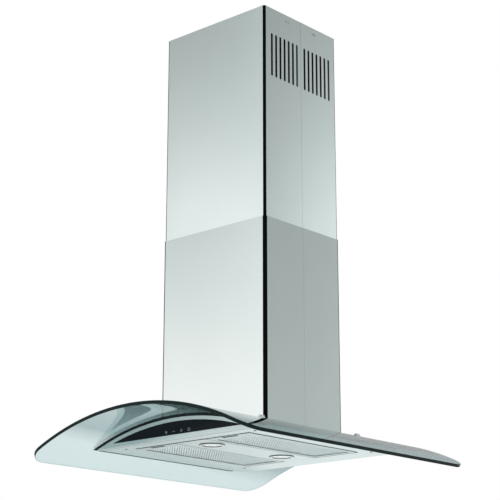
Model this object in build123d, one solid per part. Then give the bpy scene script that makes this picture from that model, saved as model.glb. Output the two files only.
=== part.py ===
"""Island range hood with an arched glass canopy. Millimetres, +Z up.

The origin is the centre of the ceiling plate's upper face, and the hood hangs below it. +X runs to the
right along the front, where the touch strip is, and +Y runs to the rear.
"""
import os
from math import asin, cos, radians, sin, sqrt

from build123d import *

os.makedirs("parts", exist_ok=True)

# ---------------------------------------------------------------- overall and clearances
DROP = 1072.0               # ceiling to the flat underside of the body
GAP = 0.3                   # between pieces that lie beside each other
RUNNING = 0.05              # radial clearance of a shaft or pin in its hole

# ---------------------------------------------------------------- glass canopy
GLASS_WIDTH = 700.0
GLASS_DEPTH = 810.0
GLASS_THICK = 8.0
GLASS_RADIUS = 732.0        # upper face of the arch
PANEL_EDGE_GAP = 3.0        # between the body's side edges and the glass over them
GLASS_CORNER = 50.0
GLASS_BEVEL = 1.0           # ground edge
CUTOUT_MARGIN = 6.0         # glass cut-out round the collar
GASKET_THICK = 7.0          # strip between the body and the glass
GASKET_DEPTH = 12.0
GASKET_SQUEEZE = 0.15       # left above and below the rubber

# ---------------------------------------------------------------- body
BODY_WIDTH = 536.0
BODY_DEPTH = 525.0
BODY_CORNER = 60.0          # rear corners only
PANEL_SHEET = 1.5
SHELL_SHEET = 1.2
SHELL_INSET = 18.0          # shell wall inside the panel's edge
FASCIA_DEPTH = 10.0
FASCIA_RIM = 8.5            # silver rim over the touch strip
FASCIA_SILL = 10.0          # silver rim under it
TOUCH_THICK = 4.0
TOUCH_RECESS = 0.6
ICON_PITCH = 24.0
ICON_CENTRE = 8.0           # middle of the row of symbols, right of the centre
ICON_SIZE = 8.0
ICON_LINE = 1.0
ICON_THICK = 0.2
ICON_HEIGHT = 17.5          # above the underside
BOARD_THICK = 1.6
TOUCH_BOARD_LENGTH = 130.0
TOUCH_BOARD_HEIGHT = 18.0

# ---------------------------------------------------------------- filter cavity, lamp bar, lamps
CAVITY_WIDTH = 366.0
CAVITY_DEPTH = 398.0
CAVITY_OFFSET = -13.0       # cavity centre, towards the front
CAVITY_CORNER = 6.0
CAVITY_FLANGE = 14.0        # upturned wall round the cavity
LAMP_BAR_WIDTH = 96.0
LAMP_BAR_FLANGE = 10.0
LAMP_BAR_SHEET = 1.0
LAMP_PITCH = 250.0
LAMP_HOLE_RADIUS = 26.5
LAMP_RIM = 4.5              # how far the bezel covers the bar round its hole
BEZEL_THICK = 1.6
BEZEL_WALL = 1.5
BEZEL_LIP = 1.5             # ledge that the lens rests on
BEZEL_SLEEVE = 8.0
LENS_THICK = 2.0
HOUSING_HEIGHT = 14.0
HOUSING_WALL = 1.5
LAMP_BOARD_HEIGHT = 5.0     # board above the lens
RIVET_RADIUS = 1.6
RIVET_HEAD = 3.0
RIVET_SPACING = 60.0

# ---------------------------------------------------------------- grease filters
FILTER_SIDE_GAP = 1.0
FILTER_FRONT_GAP = 1.0
FILTER_REAR_GAP = 9.0
FILTER_THICK = 9.0
FILTER_CORNER = 4.0
RAIL_FRONT = 24.0
RAIL_SIDE = 12.0
RAIL_REAR = 14.0
FILTER_LIP = 3.0            # ledge under the mesh pack
FILTER_LIP_THICK = 1.2
MESH_THICK = 6.0
HINGE_SETBACK = 5.0         # hinge axis in front of the cavity's rear wall
HINGE_RISE = 5.0            # hinge axis above the underside
HINGE_SPACING = 90.0
LUG_WIDTH = 8.0
LUG_RADIUS = 2.4
TRUNNION_RADIUS = 1.5
EAR_THICK = 1.5
EAR_RADIUS = 2.7
BRACKET_SHEET = 1.2
BRACKET_HEIGHT = 11.0
POCKET_WIDTH = 46.0         # finger slot in the front rail
POCKET_SETBACK = 5.0
POCKET_HEIGHT = 6.5
TONGUE_WIDTH = 14.0
TONGUE_THICK = 2.8
TONGUE_RISE = 2.2
TONGUE_NOSE = 0.7           # tongue proud of the rail
FINGER_PLATE = 2.0
LATCH_TRAVEL = 4.0
SPRING_RADIUS = 1.3
SPRING_WALL = 0.4
SPRING_POCKET = 5.0         # blind hole behind the finger slot

# ---------------------------------------------------------------- screws
GLASS_SCREW_INSET = 82.0    # in from the body's sides
GLASS_SCREW_Y = 175.0
GLASS_SCREW_RADIUS = 3.0
GLASS_HEAD_RADIUS = 6.5
GLASS_HEAD_HEIGHT = 3.5
HEX_KEY = 2.0               # socket radius
WASHER_RADIUS = 9.0
WASHER_THICK = 1.5
BUSH_WALL = 2.0             # sleeve of the rubber bush through the glass
BUSH_RADIUS = 10.0          # its shoulder under the glass
NUT_RADIUS = 5.5
NUT_HEIGHT = 5.0
THREAD_END = 1.5            # screw past its nut
SCREW_CLEARANCE = 0.25
PANEL_SCREW_INSET = 63.0    # in from the body's sides
PANEL_SCREW_FRONT = 218.0
PANEL_SCREW_REAR = 205.0
PANEL_SCREW_RADIUS = 2.0
PANEL_SCREW_HEAD = 3.9
PANEL_SCREW_LENGTH = 9.0
BOSS_RADIUS = 4.5

# ---------------------------------------------------------------- chimney covers
COVER_WIDTH = 333.0         # upper stage, outside
COVER_DEPTH = 277.0
COVER_SHEET = 0.8
COVER_BEND = 6.0            # outer corner radius
COVER_PLAY = 1.2            # between the two stages
SEAM_GAP = 0.5
LAP_WIDTH = 12.0            # strip behind each seam
LOWER_COVER_TOP = 528.0     # above the underside
COVER_OVERLAP = 90.0
GLASS_SEAT = 0.4            # lower cover above the glass
SLOT_COUNT = 7
SLOT_PITCH = 16.0
SLOT_WIDTH = 7.0
SLOT_LENGTH = 113.0
SLOT_TOP = 67.0             # below the ceiling
SLOT_MARGIN = 28.0          # first slot from the front or rear face
HOOK_SLOT_LENGTH = 14.0
HOOK_SLOT_HEIGHT = 5.0
HOOK_TOP = 17.0             # hook slots below the ceiling
HOOK_OFFSET = 51.5          # from the seam
HOOK_TAB_WIDTH = 8.0        # tab of the ceiling plate that each slot hangs on
HOOK_TAB_HEIGHT = 2.0

# ---------------------------------------------------------------- support frame
CEILING_SHEET = 2.5
CEILING_FLANGE = 30.0
CEILING_BOLT_X = 240.0
CEILING_BOLT_Y = 200.0
CEILING_BOLT_RADIUS = 4.5
DUCT_HOLE_RADIUS = 80.0
CABLE_HOLE_RADIUS = 10.0    # over the cable gland
POST_LEG = 25.0
POST_SHEET = 1.5
POST_SETBACK = 5.5          # room for bolt heads inside the cover
POST_NEST = 0.2             # between upper and lower posts
UPPER_POST_LENGTH = 560.0
POST_OVERLAP = 126.0        # lower posts inside the upper ones
BRACE_HEIGHT = 25.0
BRACE_DROP = 30.0           # brace centre below the lower posts' tops
BOLT_PITCH = 60.0
FOOT_BOLT_RISE = 11.0
BOLT_RADIUS = 3.0
BOLT_HEAD_RADIUS = 6.0
BOLT_HEAD_HEIGHT = 3.2
COLLAR_WIDTH = 250.0
COLLAR_DEPTH = 210.0
COLLAR_WALL = 2.0
COLLAR_CORNER = 20.0
COLLAR_RISE = 12.0          # upper face of the collar's flange above the glass
COLLAR_LIP = 20.0
SHELL_OPENING_INSET = 3.0   # shell opening inside the collar

# ---------------------------------------------------------------- blower
BOX_WIDTH = 240.0
BOX_DEPTH = 200.0
BOX_HEIGHT = 270.0
BOX_SHEET = 1.0
BOX_FLANGE = 14.0
BOX_BOLT_Y = 60.0
BOX_BOLT_RADIUS = 2.5
BOX_BOLT_HEAD = 4.5
BOX_BOLT_HEAD_HEIGHT = 3.0
FAN_Y = -24.0
FAN_RISE = 110.0            # fan axis above the collar's flange
FAN_RADIUS = 61.0
FAN_WIDTH = 96.0
FAN_RING = 10.0
FAN_SHEET = 2.0
BLADE_COUNT = 24
BLADE_THICK = 1.0
BLADE_CHORD = 9.0
BLADE_ANGLE = 35.0
HUB_RADIUS = 10.0
HUB_LENGTH = 16.0
SCROLL_START = 66.0
SCROLL_END = 84.0
SCROLL_WIDTH = 116.0
SCROLL_WALL = 1.5
INLET_RADIUS = 50.0
NECK_DEPTH = 80.0
NECK_FLANGE = 16.0          # rim that hangs the casing under the box's top
MOTOR_RADIUS = 34.0
MOTOR_LENGTH = 52.0
MOTOR_WALL = 2.5
STATOR_RADIUS = 20.0
STATOR_LENGTH = 28.0
AIR_GAP = 0.5
SHAFT_RADIUS = 3.0
BEARING_RADIUS = 8.0
BEARING_WIDTH = 5.0
BEARING_SEAT = 3.0
BRACKET_THICK = 2.5
BRACKET_ARM = 12.0
BRACKET_REACH = 62.0
SPIGOT_RADIUS = 74.5
SPIGOT_WALL = 1.5
SPIGOT_HEIGHT = 60.0
SPIGOT_FLANGE = 79.0
SPIGOT_LEDGE = 3.0
FLAP_RISE = 26.0            # flap hinge above the box
FLAP_THICK = 1.0
FLAP_PLAY = 1.0
FLAP_SETBACK = 3.0          # flap edge from the hinge axis
KNUCKLE_RADIUS = 2.4
KNUCKLE_LENGTH = 14.0
ROD_RADIUS = 1.5

# ---------------------------------------------------------------- electrics
CONTROL_DEPTH = 27.0
CONTROL_WIDTH = 120.0
CONTROL_HEIGHT = 110.0
CONTROL_RISE = 75.0         # above the collar's flange
CONTROL_WALL = 2.0
CONTROL_BOARD_MARGIN = 8.0
CONTROL_BOARD_OFFSET = 5.0
CAPACITOR_RADIUS = 8.0
CAPACITOR_LENGTH = 50.0
GLAND_RADIUS = 8.0
GLAND_BORE = 3.6
GLAND_LENGTH = 18.0

# ---------------------------------------------------------------- levels and faces that follow
UNDER = -DROP
GLASS_UNDER_R = GLASS_RADIUS - GLASS_THICK
AXIS_Z = UNDER + PANEL_SHEET + PANEL_EDGE_GAP - sqrt(GLASS_UNDER_R ** 2 - (BODY_WIDTH / 2) ** 2)
GLASS_CROWN = AXIS_Z + GLASS_RADIUS - UNDER
SHELL_R = GLASS_UNDER_R - GASKET_THICK
SHELL_UNDER_R = SHELL_R - SHELL_SHEET
BODY_FRONT = -BODY_DEPTH / 2
SHELL_FRONT = BODY_FRONT + FASCIA_DEPTH + GAP
SHELL_REAR = BODY_DEPTH / 2 - SHELL_INSET
GLASS_SCREW_X = BODY_WIDTH / 2 - GLASS_SCREW_INSET
PANEL_SCREW_X = BODY_WIDTH / 2 - PANEL_SCREW_INSET
CAVITY_FRONT = CAVITY_OFFSET - CAVITY_DEPTH / 2
CAVITY_REAR = CAVITY_OFFSET + CAVITY_DEPTH / 2
COLLAR_Z = UNDER + GLASS_CROWN + COLLAR_RISE
POST_X = COVER_WIDTH / 2 - COVER_SHEET - POST_SETBACK
POST_Y = COVER_DEPTH / 2 - COVER_SHEET - POST_SETBACK
LOWER_POST_X = POST_X - POST_SHEET - POST_NEST
LOWER_POST_Y = POST_Y - POST_SHEET - POST_NEST
BRACE_X = LOWER_POST_X - POST_SHEET - POST_NEST
BRACE_Y = LOWER_POST_Y - POST_SHEET - POST_NEST
BOLT_Y = POST_Y - POST_NEST - POST_LEG / 2 - POST_SHEET
LOWER_POST_TOP = -CEILING_SHEET - UPPER_POST_LENGTH + POST_OVERLAP
GLAND_X = BOX_WIDTH / 2 + CONTROL_DEPTH / 2
BRACE_Z = LOWER_POST_TOP - BRACE_DROP
BOX_TOP = COLLAR_Z + BOX_HEIGHT
OUTLET_Y = FAN_Y + SCROLL_END - NECK_DEPTH / 2
FAN_Z = COLLAR_Z + FAN_RISE
FLAP_Z = BOX_TOP + FLAP_RISE


def block(x0, x1, y0, y1, z0, z1):
    """Box between two corners."""
    return Pos((x0 + x1) / 2, (y0 + y1) / 2, (z0 + z1) / 2) * Box(x1 - x0, y1 - y0, z1 - z0)


def rod(start, direction, radius, length):
    """Cylinder from a start point along a direction."""
    place = Plane(origin=start, z_dir=direction).location
    return place * Cylinder(radius, length, align=(Align.CENTER, Align.CENTER, Align.MIN))


def tube(start, direction, radius, bore, length):
    """Cylinder with a bore."""
    return rod(start, direction, radius, length) - rod(start, direction, bore, length)


def plate(width, depth, corner, z0, z1, y=0.0):
    """Upright prism with a rounded rectangular plan."""
    return extrude(Pos(0, y, z0) * RectangleRounded(width, depth, corner), z1 - z0)


def arch(radius, y0, y1):
    """Full cylinder about the glass's axis of curvature."""
    return rod((0, y0, AXIS_Z), (0, 1, 0), radius, y1 - y0)


def body_plan(inset, front, z0, z1):
    """Prism of the body's plan: square at the front, rounded at the rear."""
    rear = BODY_DEPTH / 2 - inset
    plan = Pos(0, (front + rear) / 2) * Rectangle(BODY_WIDTH - 2 * inset, rear - front)
    plan = fillet(plan.vertices().group_by(Axis.Y)[-1], BODY_CORNER - inset)
    return extrude(Pos(0, 0, z0) * plan, z1 - z0)


def hexagon(start, direction, radius, height, bore):
    """Nut with its corners on the given radius."""
    face = RegularPolygon(radius, 6)
    place = Plane(origin=start, z_dir=direction).location
    return place * (extrude(face, height) - Pos(0, 0, height / 2) * Cylinder(bore, height))


def save(name, *solids):
    """Write one node, made of one or more solids."""
    flat = [solid for shape in solids for solid in shape.solids()]
    shape = flat[0] if len(flat) == 1 else Compound(children=flat)
    shape.label = name
    export_step(shape, f"parts/{name}.step")


def corners(x, y):
    """The four points of a rectangle about the centre."""
    return [(sx * x, sy * y) for sx in (-1, 1) for sy in (-1, 1)]


# ---------------------------------------------------------------- glass canopy and its fixings
edge_angle = asin(GLASS_WIDTH / 2 / GLASS_RADIUS)


def arch_point(radius, angle):
    """Point in the arch's section, at an angle from its crown."""
    return (radius * sin(angle), radius * cos(angle))


upper_left, upper_right = arch_point(GLASS_RADIUS, -edge_angle), arch_point(GLASS_RADIUS, edge_angle)
under_left, under_right = arch_point(GLASS_UNDER_R, -edge_angle), arch_point(GLASS_UNDER_R, edge_angle)
section = RadiusArc(upper_left, upper_right, GLASS_RADIUS)
section += Line(upper_right, under_right)
section += RadiusArc(under_right, under_left, -GLASS_UNDER_R)
section += Line(under_left, upper_left)
arch_plane = Plane(origin=(0, GLASS_DEPTH / 2, AXIS_Z), x_dir=(1, 0, 0), z_dir=(0, -1, 0))
glass = extrude(arch_plane.location * make_face(section), GLASS_DEPTH)
glass = fillet([e for e in glass.edges() if abs(e.length - GLASS_THICK) < RUNNING], GLASS_CORNER)
glass = chamfer([e for e in glass.edges() if e.length > GLASS_THICK + GLASS_BEVEL], GLASS_BEVEL)
cutout_x = COLLAR_WIDTH + 2 * CUTOUT_MARGIN
cutout_y = COLLAR_DEPTH + 2 * CUTOUT_MARGIN
glass = glass - plate(cutout_x, cutout_y, COLLAR_CORNER + CUTOUT_MARGIN, UNDER, UNDER + 2 * GLASS_CROWN)

sleeve_radius = GLASS_SCREW_RADIUS + SCREW_CLEARANCE + BUSH_WALL
screws, washers, bushes, nuts, shell_holes = [], [], [], [], []
for x, y in corners(GLASS_SCREW_X, GLASS_SCREW_Y):
    tilt = asin(x / GLASS_RADIUS)
    out = (sin(tilt), 0, cos(tilt))
    inward = (-out[0], 0, -out[2])

    def at(radius):
        """Point of the screw's axis at a distance from the arch's axis."""
        return (radius * out[0], y, AXIS_Z + radius * out[2])

    glass = glass - rod(at(GLASS_UNDER_R - GLASS_THICK), out, sleeve_radius + GASKET_SQUEEZE, 3 * GLASS_THICK)
    clear = GLASS_SCREW_RADIUS + SCREW_CLEARANCE
    washer_top = GLASS_RADIUS + GASKET_SQUEEZE + WASHER_THICK
    washers.append(tube(at(GLASS_RADIUS + GASKET_SQUEEZE), out, WASHER_RADIUS, clear, WASHER_THICK))
    shoulder = tube(at(SHELL_R + GASKET_SQUEEZE), out, BUSH_RADIUS, clear, GASKET_THICK - 2 * GASKET_SQUEEZE)
    sleeve = tube(at(SHELL_R + GASKET_SQUEEZE), out, sleeve_radius, clear,
                  GASKET_THICK + GLASS_THICK - GASKET_SQUEEZE)
    bushes.append(shoulder + sleeve)
    nut_top = SHELL_UNDER_R - GASKET_SQUEEZE
    nuts.append(hexagon(at(nut_top), inward, NUT_RADIUS, NUT_HEIGHT, GLASS_SCREW_RADIUS))
    shank_length = washer_top - nut_top + NUT_HEIGHT + THREAD_END
    head = rod(at(washer_top), out, GLASS_HEAD_RADIUS, GLASS_HEAD_HEIGHT)
    head = fillet(head.faces().sort_by(Axis(at(0), out))[-1].edges(), GLASS_HEAD_HEIGHT / 2)
    socket = rod(at(washer_top + GLASS_HEAD_HEIGHT / 2), out, HEX_KEY, GLASS_HEAD_HEIGHT)
    screws.append(head + rod(at(washer_top), inward, GLASS_SCREW_RADIUS, shank_length) - socket)
    shell_holes.append(rod(at(SHELL_UNDER_R - SHELL_SHEET), out, clear, 3 * SHELL_SHEET))
save("glass_canopy", glass)
save("glass_screws", *screws)
save("glass_washers", *washers)
save("glass_bushes", *bushes)
save("glass_nuts", *nuts)


def gasket_strip(y0, y1, half_width):
    """Strip that fills the space between the body and the glass."""
    strip = arch(GLASS_UNDER_R - GASKET_SQUEEZE, y0, y1) - arch(SHELL_R + GASKET_SQUEEZE, y0, y1)
    return strip & block(-half_width, half_width, y0, y1, UNDER + PANEL_SHEET + GAP, UNDER + GLASS_CROWN)


front_strip = gasket_strip(BODY_FRONT, BODY_FRONT + GASKET_DEPTH, BODY_WIDTH)
rear_strip = gasket_strip(SHELL_REAR - GASKET_DEPTH, SHELL_REAR, BODY_WIDTH / 2 - BODY_CORNER)
save("glass_gasket", front_strip, rear_strip)

# ---------------------------------------------------------------- fascia and touch strip
window_r = SHELL_R - FASCIA_RIM
fascia = arch(SHELL_R, BODY_FRONT, BODY_FRONT + FASCIA_DEPTH)
fascia = fascia & block(-BODY_WIDTH, BODY_WIDTH, BODY_FRONT, SHELL_FRONT, UNDER, UNDER + GLASS_CROWN)
window = arch(window_r, BODY_FRONT - 1, SHELL_FRONT)
window = window & block(-BODY_WIDTH, BODY_WIDTH, BODY_FRONT - 1, SHELL_FRONT,
                        UNDER + FASCIA_SILL, UNDER + GLASS_CROWN)
save("fascia_frame", fascia - window)

touch_front = BODY_FRONT + TOUCH_RECESS
touch_rear = touch_front + TOUCH_THICK
touch = arch(window_r - GAP, touch_front, touch_rear)
touch = touch & block(-BODY_WIDTH, BODY_WIDTH, touch_front, touch_rear,
                      UNDER + FASCIA_SILL + GAP, UNDER + GLASS_CROWN)
save("touch_panel", touch)
board_z = UNDER + FASCIA_SILL + GAP + 2 * PANEL_SHEET
save("touch_board", block(-TOUCH_BOARD_LENGTH / 2, TOUCH_BOARD_LENGTH / 2,
                          touch_rear, touch_rear + BOARD_THICK, board_z, board_z + TOUCH_BOARD_HEIGHT))

ring = Circle(ICON_SIZE / 2) - Circle(ICON_SIZE / 2 - ICON_LINE)
bar = Rectangle(ICON_LINE, ICON_SIZE / 2)
gap_bar = Rectangle(3 * ICON_LINE, ICON_SIZE)
ray = Pos(0, ICON_SIZE / 2 - ICON_LINE) * Rectangle(ICON_LINE, 2 * ICON_LINE)
lamp_icon = Circle(ICON_SIZE / 4) + [Rot(0, 0, angle) * ray for angle in range(0, 360, 60)]
down_icon = Rectangle(ICON_SIZE, ICON_LINE)
up_icon = Rectangle(ICON_SIZE, ICON_LINE) + Rectangle(ICON_LINE, ICON_SIZE)
power_icon = ring - Pos(0, ICON_SIZE / 2) * gap_bar + Pos(0, ICON_SIZE / 4) * bar
icons = []
for index, face in enumerate((lamp_icon, down_icon, up_icon, power_icon)):
    x = ICON_CENTRE + (index - 1.5) * ICON_PITCH
    face_plane = Plane(origin=(x, touch_front, UNDER + ICON_HEIGHT), x_dir=(1, 0, 0), z_dir=(0, -1, 0))
    icons.append(extrude(face_plane.location * face, ICON_THICK))
save("touch_icons", *icons)

# ---------------------------------------------------------------- canopy shell
shell_z = UNDER + PANEL_SHEET
shell = body_plan(SHELL_INSET, SHELL_FRONT, shell_z, UNDER + GLASS_CROWN)
shell = shell & arch(SHELL_R, SHELL_FRONT, SHELL_REAR)
hollow = body_plan(SHELL_INSET + SHELL_SHEET, SHELL_FRONT + SHELL_SHEET, UNDER, UNDER + GLASS_CROWN)
hollow = hollow & arch(SHELL_UNDER_R, SHELL_FRONT, SHELL_REAR)
shell = shell - hollow
panel_points = [(x, y) for x in (-PANEL_SCREW_X, PANEL_SCREW_X)
                for y in (-PANEL_SCREW_FRONT, PANEL_SCREW_REAR)]
boss_ceiling = arch(SHELL_R - SHELL_SHEET / 2, SHELL_FRONT, SHELL_REAR)
for x, y in panel_points:
    shell = shell + (rod((x, y, shell_z), (0, 0, 1), BOSS_RADIUS, GLASS_CROWN) & boss_ceiling)
for x, y in panel_points:
    shell = shell - rod((x, y, UNDER), (0, 0, 1), PANEL_SCREW_RADIUS, PANEL_SCREW_LENGTH + GAP)
shell = shell - plate(COLLAR_WIDTH - 2 * SHELL_OPENING_INSET, COLLAR_DEPTH - 2 * SHELL_OPENING_INSET,
                      COLLAR_CORNER - SHELL_OPENING_INSET, UNDER + CAVITY_FLANGE, UNDER + GLASS_CROWN)
for hole in shell_holes:
    shell = shell - hole
save("canopy_shell", shell)

# ---------------------------------------------------------------- underside panel and its screws
panel = body_plan(0, SHELL_FRONT, UNDER, UNDER + PANEL_SHEET)
wall = plate(CAVITY_WIDTH + 2 * PANEL_SHEET, CAVITY_DEPTH + 2 * PANEL_SHEET, CAVITY_CORNER + PANEL_SHEET,
             UNDER, UNDER + CAVITY_FLANGE, CAVITY_OFFSET)
panel = panel + wall
panel = panel - plate(CAVITY_WIDTH, CAVITY_DEPTH, CAVITY_CORNER, UNDER - 1, UNDER + GLASS_CROWN, CAVITY_OFFSET)
panel_screws = []
for x, y in panel_points:
    shank = rod((x, y, UNDER), (0, 0, 1), PANEL_SCREW_RADIUS, PANEL_SCREW_LENGTH)
    cone = Pos(x, y, UNDER + PANEL_SHEET / 2) * Cone(PANEL_SCREW_HEAD, PANEL_SCREW_RADIUS, PANEL_SHEET)
    panel = panel - cone
    cross = block(x - 2, x + 2, y - GAP, y + GAP, UNDER, UNDER + PANEL_SHEET / 2)
    panel_screws.append(cone + shank - cross - Pos(x, y) * Rot(0, 0, 90) * Pos(-x, -y) * cross)
rivet_points = [(x, y) for x in (-RIVET_SPACING / 2, RIVET_SPACING / 2) for y in (-1, 1)]
rivet_z = UNDER + LAMP_BAR_FLANGE / 2 + LAMP_BAR_SHEET
rivet_holes = []
for x, side in rivet_points:
    y = CAVITY_OFFSET + side * (CAVITY_DEPTH / 2 - 2 * PANEL_SHEET)
    rivet_holes.append(rod((x, y, rivet_z), (0, side, 0), RIVET_RADIUS + RUNNING, 4 * PANEL_SHEET))
for hole in rivet_holes:
    panel = panel - hole
save("underside_panel", panel)
save("panel_screws", *panel_screws)

# ---------------------------------------------------------------- lamp bar and lamps
bar_front = CAVITY_FRONT + GAP
bar_rear = CAVITY_REAR - GAP
bar_half = LAMP_BAR_WIDTH / 2
lamp_bar = block(-bar_half, bar_half, bar_front, bar_rear, UNDER, UNDER + LAMP_BAR_FLANGE)
lamp_bar = lamp_bar - block(-bar_half + LAMP_BAR_SHEET, bar_half - LAMP_BAR_SHEET,
                            bar_front + LAMP_BAR_SHEET, bar_rear - LAMP_BAR_SHEET,
                            UNDER + LAMP_BAR_SHEET, UNDER + 2 * LAMP_BAR_FLANGE)
bezels, lenses, housings, lamp_boards = [], [], [], []
lens_radius = LAMP_HOLE_RADIUS - GAP - BEZEL_WALL
for side in (-1, 1):
    centre = (0, CAVITY_OFFSET + side * LAMP_PITCH / 2)
    lamp_bar = lamp_bar - rod((*centre, UNDER - 1), (0, 0, 1), LAMP_HOLE_RADIUS, LAMP_BAR_FLANGE)
    bezel = rod((*centre, UNDER - BEZEL_THICK), (0, 0, 1), LAMP_HOLE_RADIUS + LAMP_RIM, BEZEL_THICK)
    bezel = fillet(bezel.faces().sort_by(Axis.Z)[0].edges(), BEZEL_THICK / 2)
    bezel = bezel + rod((*centre, UNDER), (0, 0, 1), LAMP_HOLE_RADIUS - GAP, BEZEL_SLEEVE)
    bezel = bezel - rod((*centre, UNDER), (0, 0, 1), lens_radius, 4 * BEZEL_SLEEVE)
    bezel = bezel - rod((*centre, UNDER - 2 * BEZEL_THICK), (0, 0, 1), lens_radius - BEZEL_LIP, 4 * BEZEL_SLEEVE)
    bezels.append(bezel)
    lenses.append(rod((*centre, UNDER), (0, 0, 1), lens_radius - GAP / 2, LENS_THICK))
    cup_z = UNDER + LENS_THICK
    cup = rod((*centre, cup_z), (0, 0, 1), lens_radius - GAP / 2, HOUSING_HEIGHT)
    cup = cup - rod((*centre, cup_z), (0, 0, 1), lens_radius - GAP / 2 - HOUSING_WALL,
                    HOUSING_HEIGHT - HOUSING_WALL)
    housings.append(cup)
    lamp_boards.append(rod((*centre, cup_z + LAMP_BOARD_HEIGHT), (0, 0, 1),
                           lens_radius - GAP - HOUSING_WALL, BOARD_THICK))
for hole in rivet_holes:
    lamp_bar = lamp_bar - hole
rivets = []
for x, side in rivet_points:
    inner = CAVITY_OFFSET + side * (CAVITY_DEPTH / 2 - GAP - LAMP_BAR_SHEET)
    rivet = rod((x, inner, rivet_z), (0, side, 0), RIVET_RADIUS, LAMP_BAR_SHEET + GAP + PANEL_SHEET)
    rivet = rivet + rod((x, inner, rivet_z), (0, -side, 0), RIVET_HEAD, RIVET_RADIUS)
    rivets.append(rivet)
save("lamp_bar", lamp_bar)
save("lamp_bar_rivets", *rivets)
save("lamp_bezels", *bezels)
save("lamp_lenses", *lenses)
save("lamp_housings", *housings)
save("lamp_boards", *lamp_boards)

# ---------------------------------------------------------------- grease filters
filter_inner = bar_half + FILTER_SIDE_GAP
filter_outer = CAVITY_WIDTH / 2 - FILTER_SIDE_GAP
filter_width = filter_outer - filter_inner
filter_x = (filter_inner + filter_outer) / 2
filter_front = CAVITY_FRONT + FILTER_FRONT_GAP
filter_rear = CAVITY_REAR - FILTER_REAR_GAP
filter_y = (filter_front + filter_rear) / 2
filter_depth = filter_rear - filter_front
hinge_y = CAVITY_REAR - HINGE_SETBACK
hinge_z = UNDER + HINGE_RISE
window_front = filter_front + RAIL_FRONT
window_rear = filter_rear - RAIL_REAR
window_y = (window_front + window_rear) / 2
window_width = filter_width - 2 * RAIL_SIDE
window_depth = window_rear - window_front
pocket_front = filter_front + POCKET_SETBACK
tongue_rear = pocket_front + GAP + 2 * FINGER_PLATE
pocket_rear = tongue_rear + LATCH_TRAVEL + 2 * GAP
tongue_z = UNDER + TONGUE_RISE
spring_z = tongue_z + TONGUE_THICK / 2
ear_offset = LUG_WIDTH / 2 + GAP
brackets = []
for name, side in (("left", -1), ("right", 1)):
    cx = side * filter_x
    place = Pos(cx, 0, 0)
    frame = plate(filter_width, filter_depth, FILTER_CORNER, UNDER, UNDER + FILTER_THICK, filter_y)
    frame = frame - plate(window_width, window_depth, FILTER_CORNER, UNDER - 1, UNDER + 2 * FILTER_THICK,
                          window_y)
    recess_width = window_width + 2 * FILTER_LIP
    recess_depth = window_depth + 2 * FILTER_LIP
    frame = frame - plate(recess_width, recess_depth, FILTER_CORNER, UNDER + FILTER_LIP_THICK,
                          UNDER + 2 * FILTER_THICK, window_y)
    frame = frame - block(-POCKET_WIDTH / 2, POCKET_WIDTH / 2, pocket_front, pocket_rear,
                          UNDER - 1, UNDER + POCKET_HEIGHT)
    channel_half = TONGUE_WIDTH / 2 + GAP
    frame = frame - block(-channel_half, channel_half, filter_front - 1, pocket_front + 1,
                          tongue_z - GAP, tongue_z + TONGUE_THICK + GAP)
    frame = frame - rod((0, pocket_front, spring_z), (0, 1, 0), SPRING_RADIUS + GAP,
                        pocket_rear + SPRING_POCKET - pocket_front)
    mesh = plate(recess_width - 2 * GAP, recess_depth - 2 * GAP, FILTER_CORNER - GAP,
                 UNDER + FILTER_LIP_THICK, UNDER + FILTER_LIP_THICK + MESH_THICK, window_y)
    for hx in (-HINGE_SPACING / 2, HINGE_SPACING / 2):
        lug = rod((hx - LUG_WIDTH / 2, hinge_y, hinge_z), (1, 0, 0), LUG_RADIUS, LUG_WIDTH)
        lug = lug + block(hx - LUG_WIDTH / 2, hx + LUG_WIDTH / 2, filter_rear - 1, hinge_y,
                          hinge_z - LUG_RADIUS, hinge_z + LUG_RADIUS)
        half_pin = ear_offset + EAR_THICK
        trunnion = rod((hx - half_pin, hinge_y, hinge_z), (1, 0, 0), TRUNNION_RADIUS, 2 * half_pin)
        frame = frame + lug + trunnion
        bracket = block(hx - ear_offset - EAR_THICK, hx + ear_offset + EAR_THICK,
                        CAVITY_REAR - BRACKET_SHEET, CAVITY_REAR, UNDER + PANEL_SHEET, UNDER + BRACKET_HEIGHT)
        for ear in (-1, 1):
            x0 = hx + ear * (ear_offset + EAR_THICK / 2) - EAR_THICK / 2
            bracket = bracket + rod((x0, hinge_y, hinge_z), (1, 0, 0), EAR_RADIUS, EAR_THICK)
            bracket = bracket + block(x0, x0 + EAR_THICK, hinge_y, CAVITY_REAR - BRACKET_SHEET,
                                      hinge_z - EAR_RADIUS, hinge_z + EAR_RADIUS)
        bracket = bracket - rod((hx - 2 * half_pin, hinge_y, hinge_z), (1, 0, 0),
                                TRUNNION_RADIUS + RUNNING, 4 * half_pin)
        brackets.append(place * bracket)
    latch = block(-TONGUE_WIDTH / 2, TONGUE_WIDTH / 2, filter_front - TONGUE_NOSE, tongue_rear,
                  tongue_z, tongue_z + TONGUE_THICK)
    latch = latch + block(-POCKET_WIDTH / 2 + FINGER_PLATE, POCKET_WIDTH / 2 - FINGER_PLATE,
                          pocket_front + GAP, pocket_front + GAP + FINGER_PLATE,
                          UNDER + GAP, UNDER + POCKET_HEIGHT - GAP)
    spring = tube((0, tongue_rear, spring_z), (0, 1, 0), SPRING_RADIUS, SPRING_RADIUS - SPRING_WALL,
                  pocket_rear + SPRING_POCKET - tongue_rear)
    save(f"filter_frame_{name}", place * frame)
    save(f"filter_mesh_{name}", place * mesh)
    save(f"filter_latch_{name}", place * latch)
    save(f"filter_spring_{name}", place * spring)
save("filter_brackets", *brackets)

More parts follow.
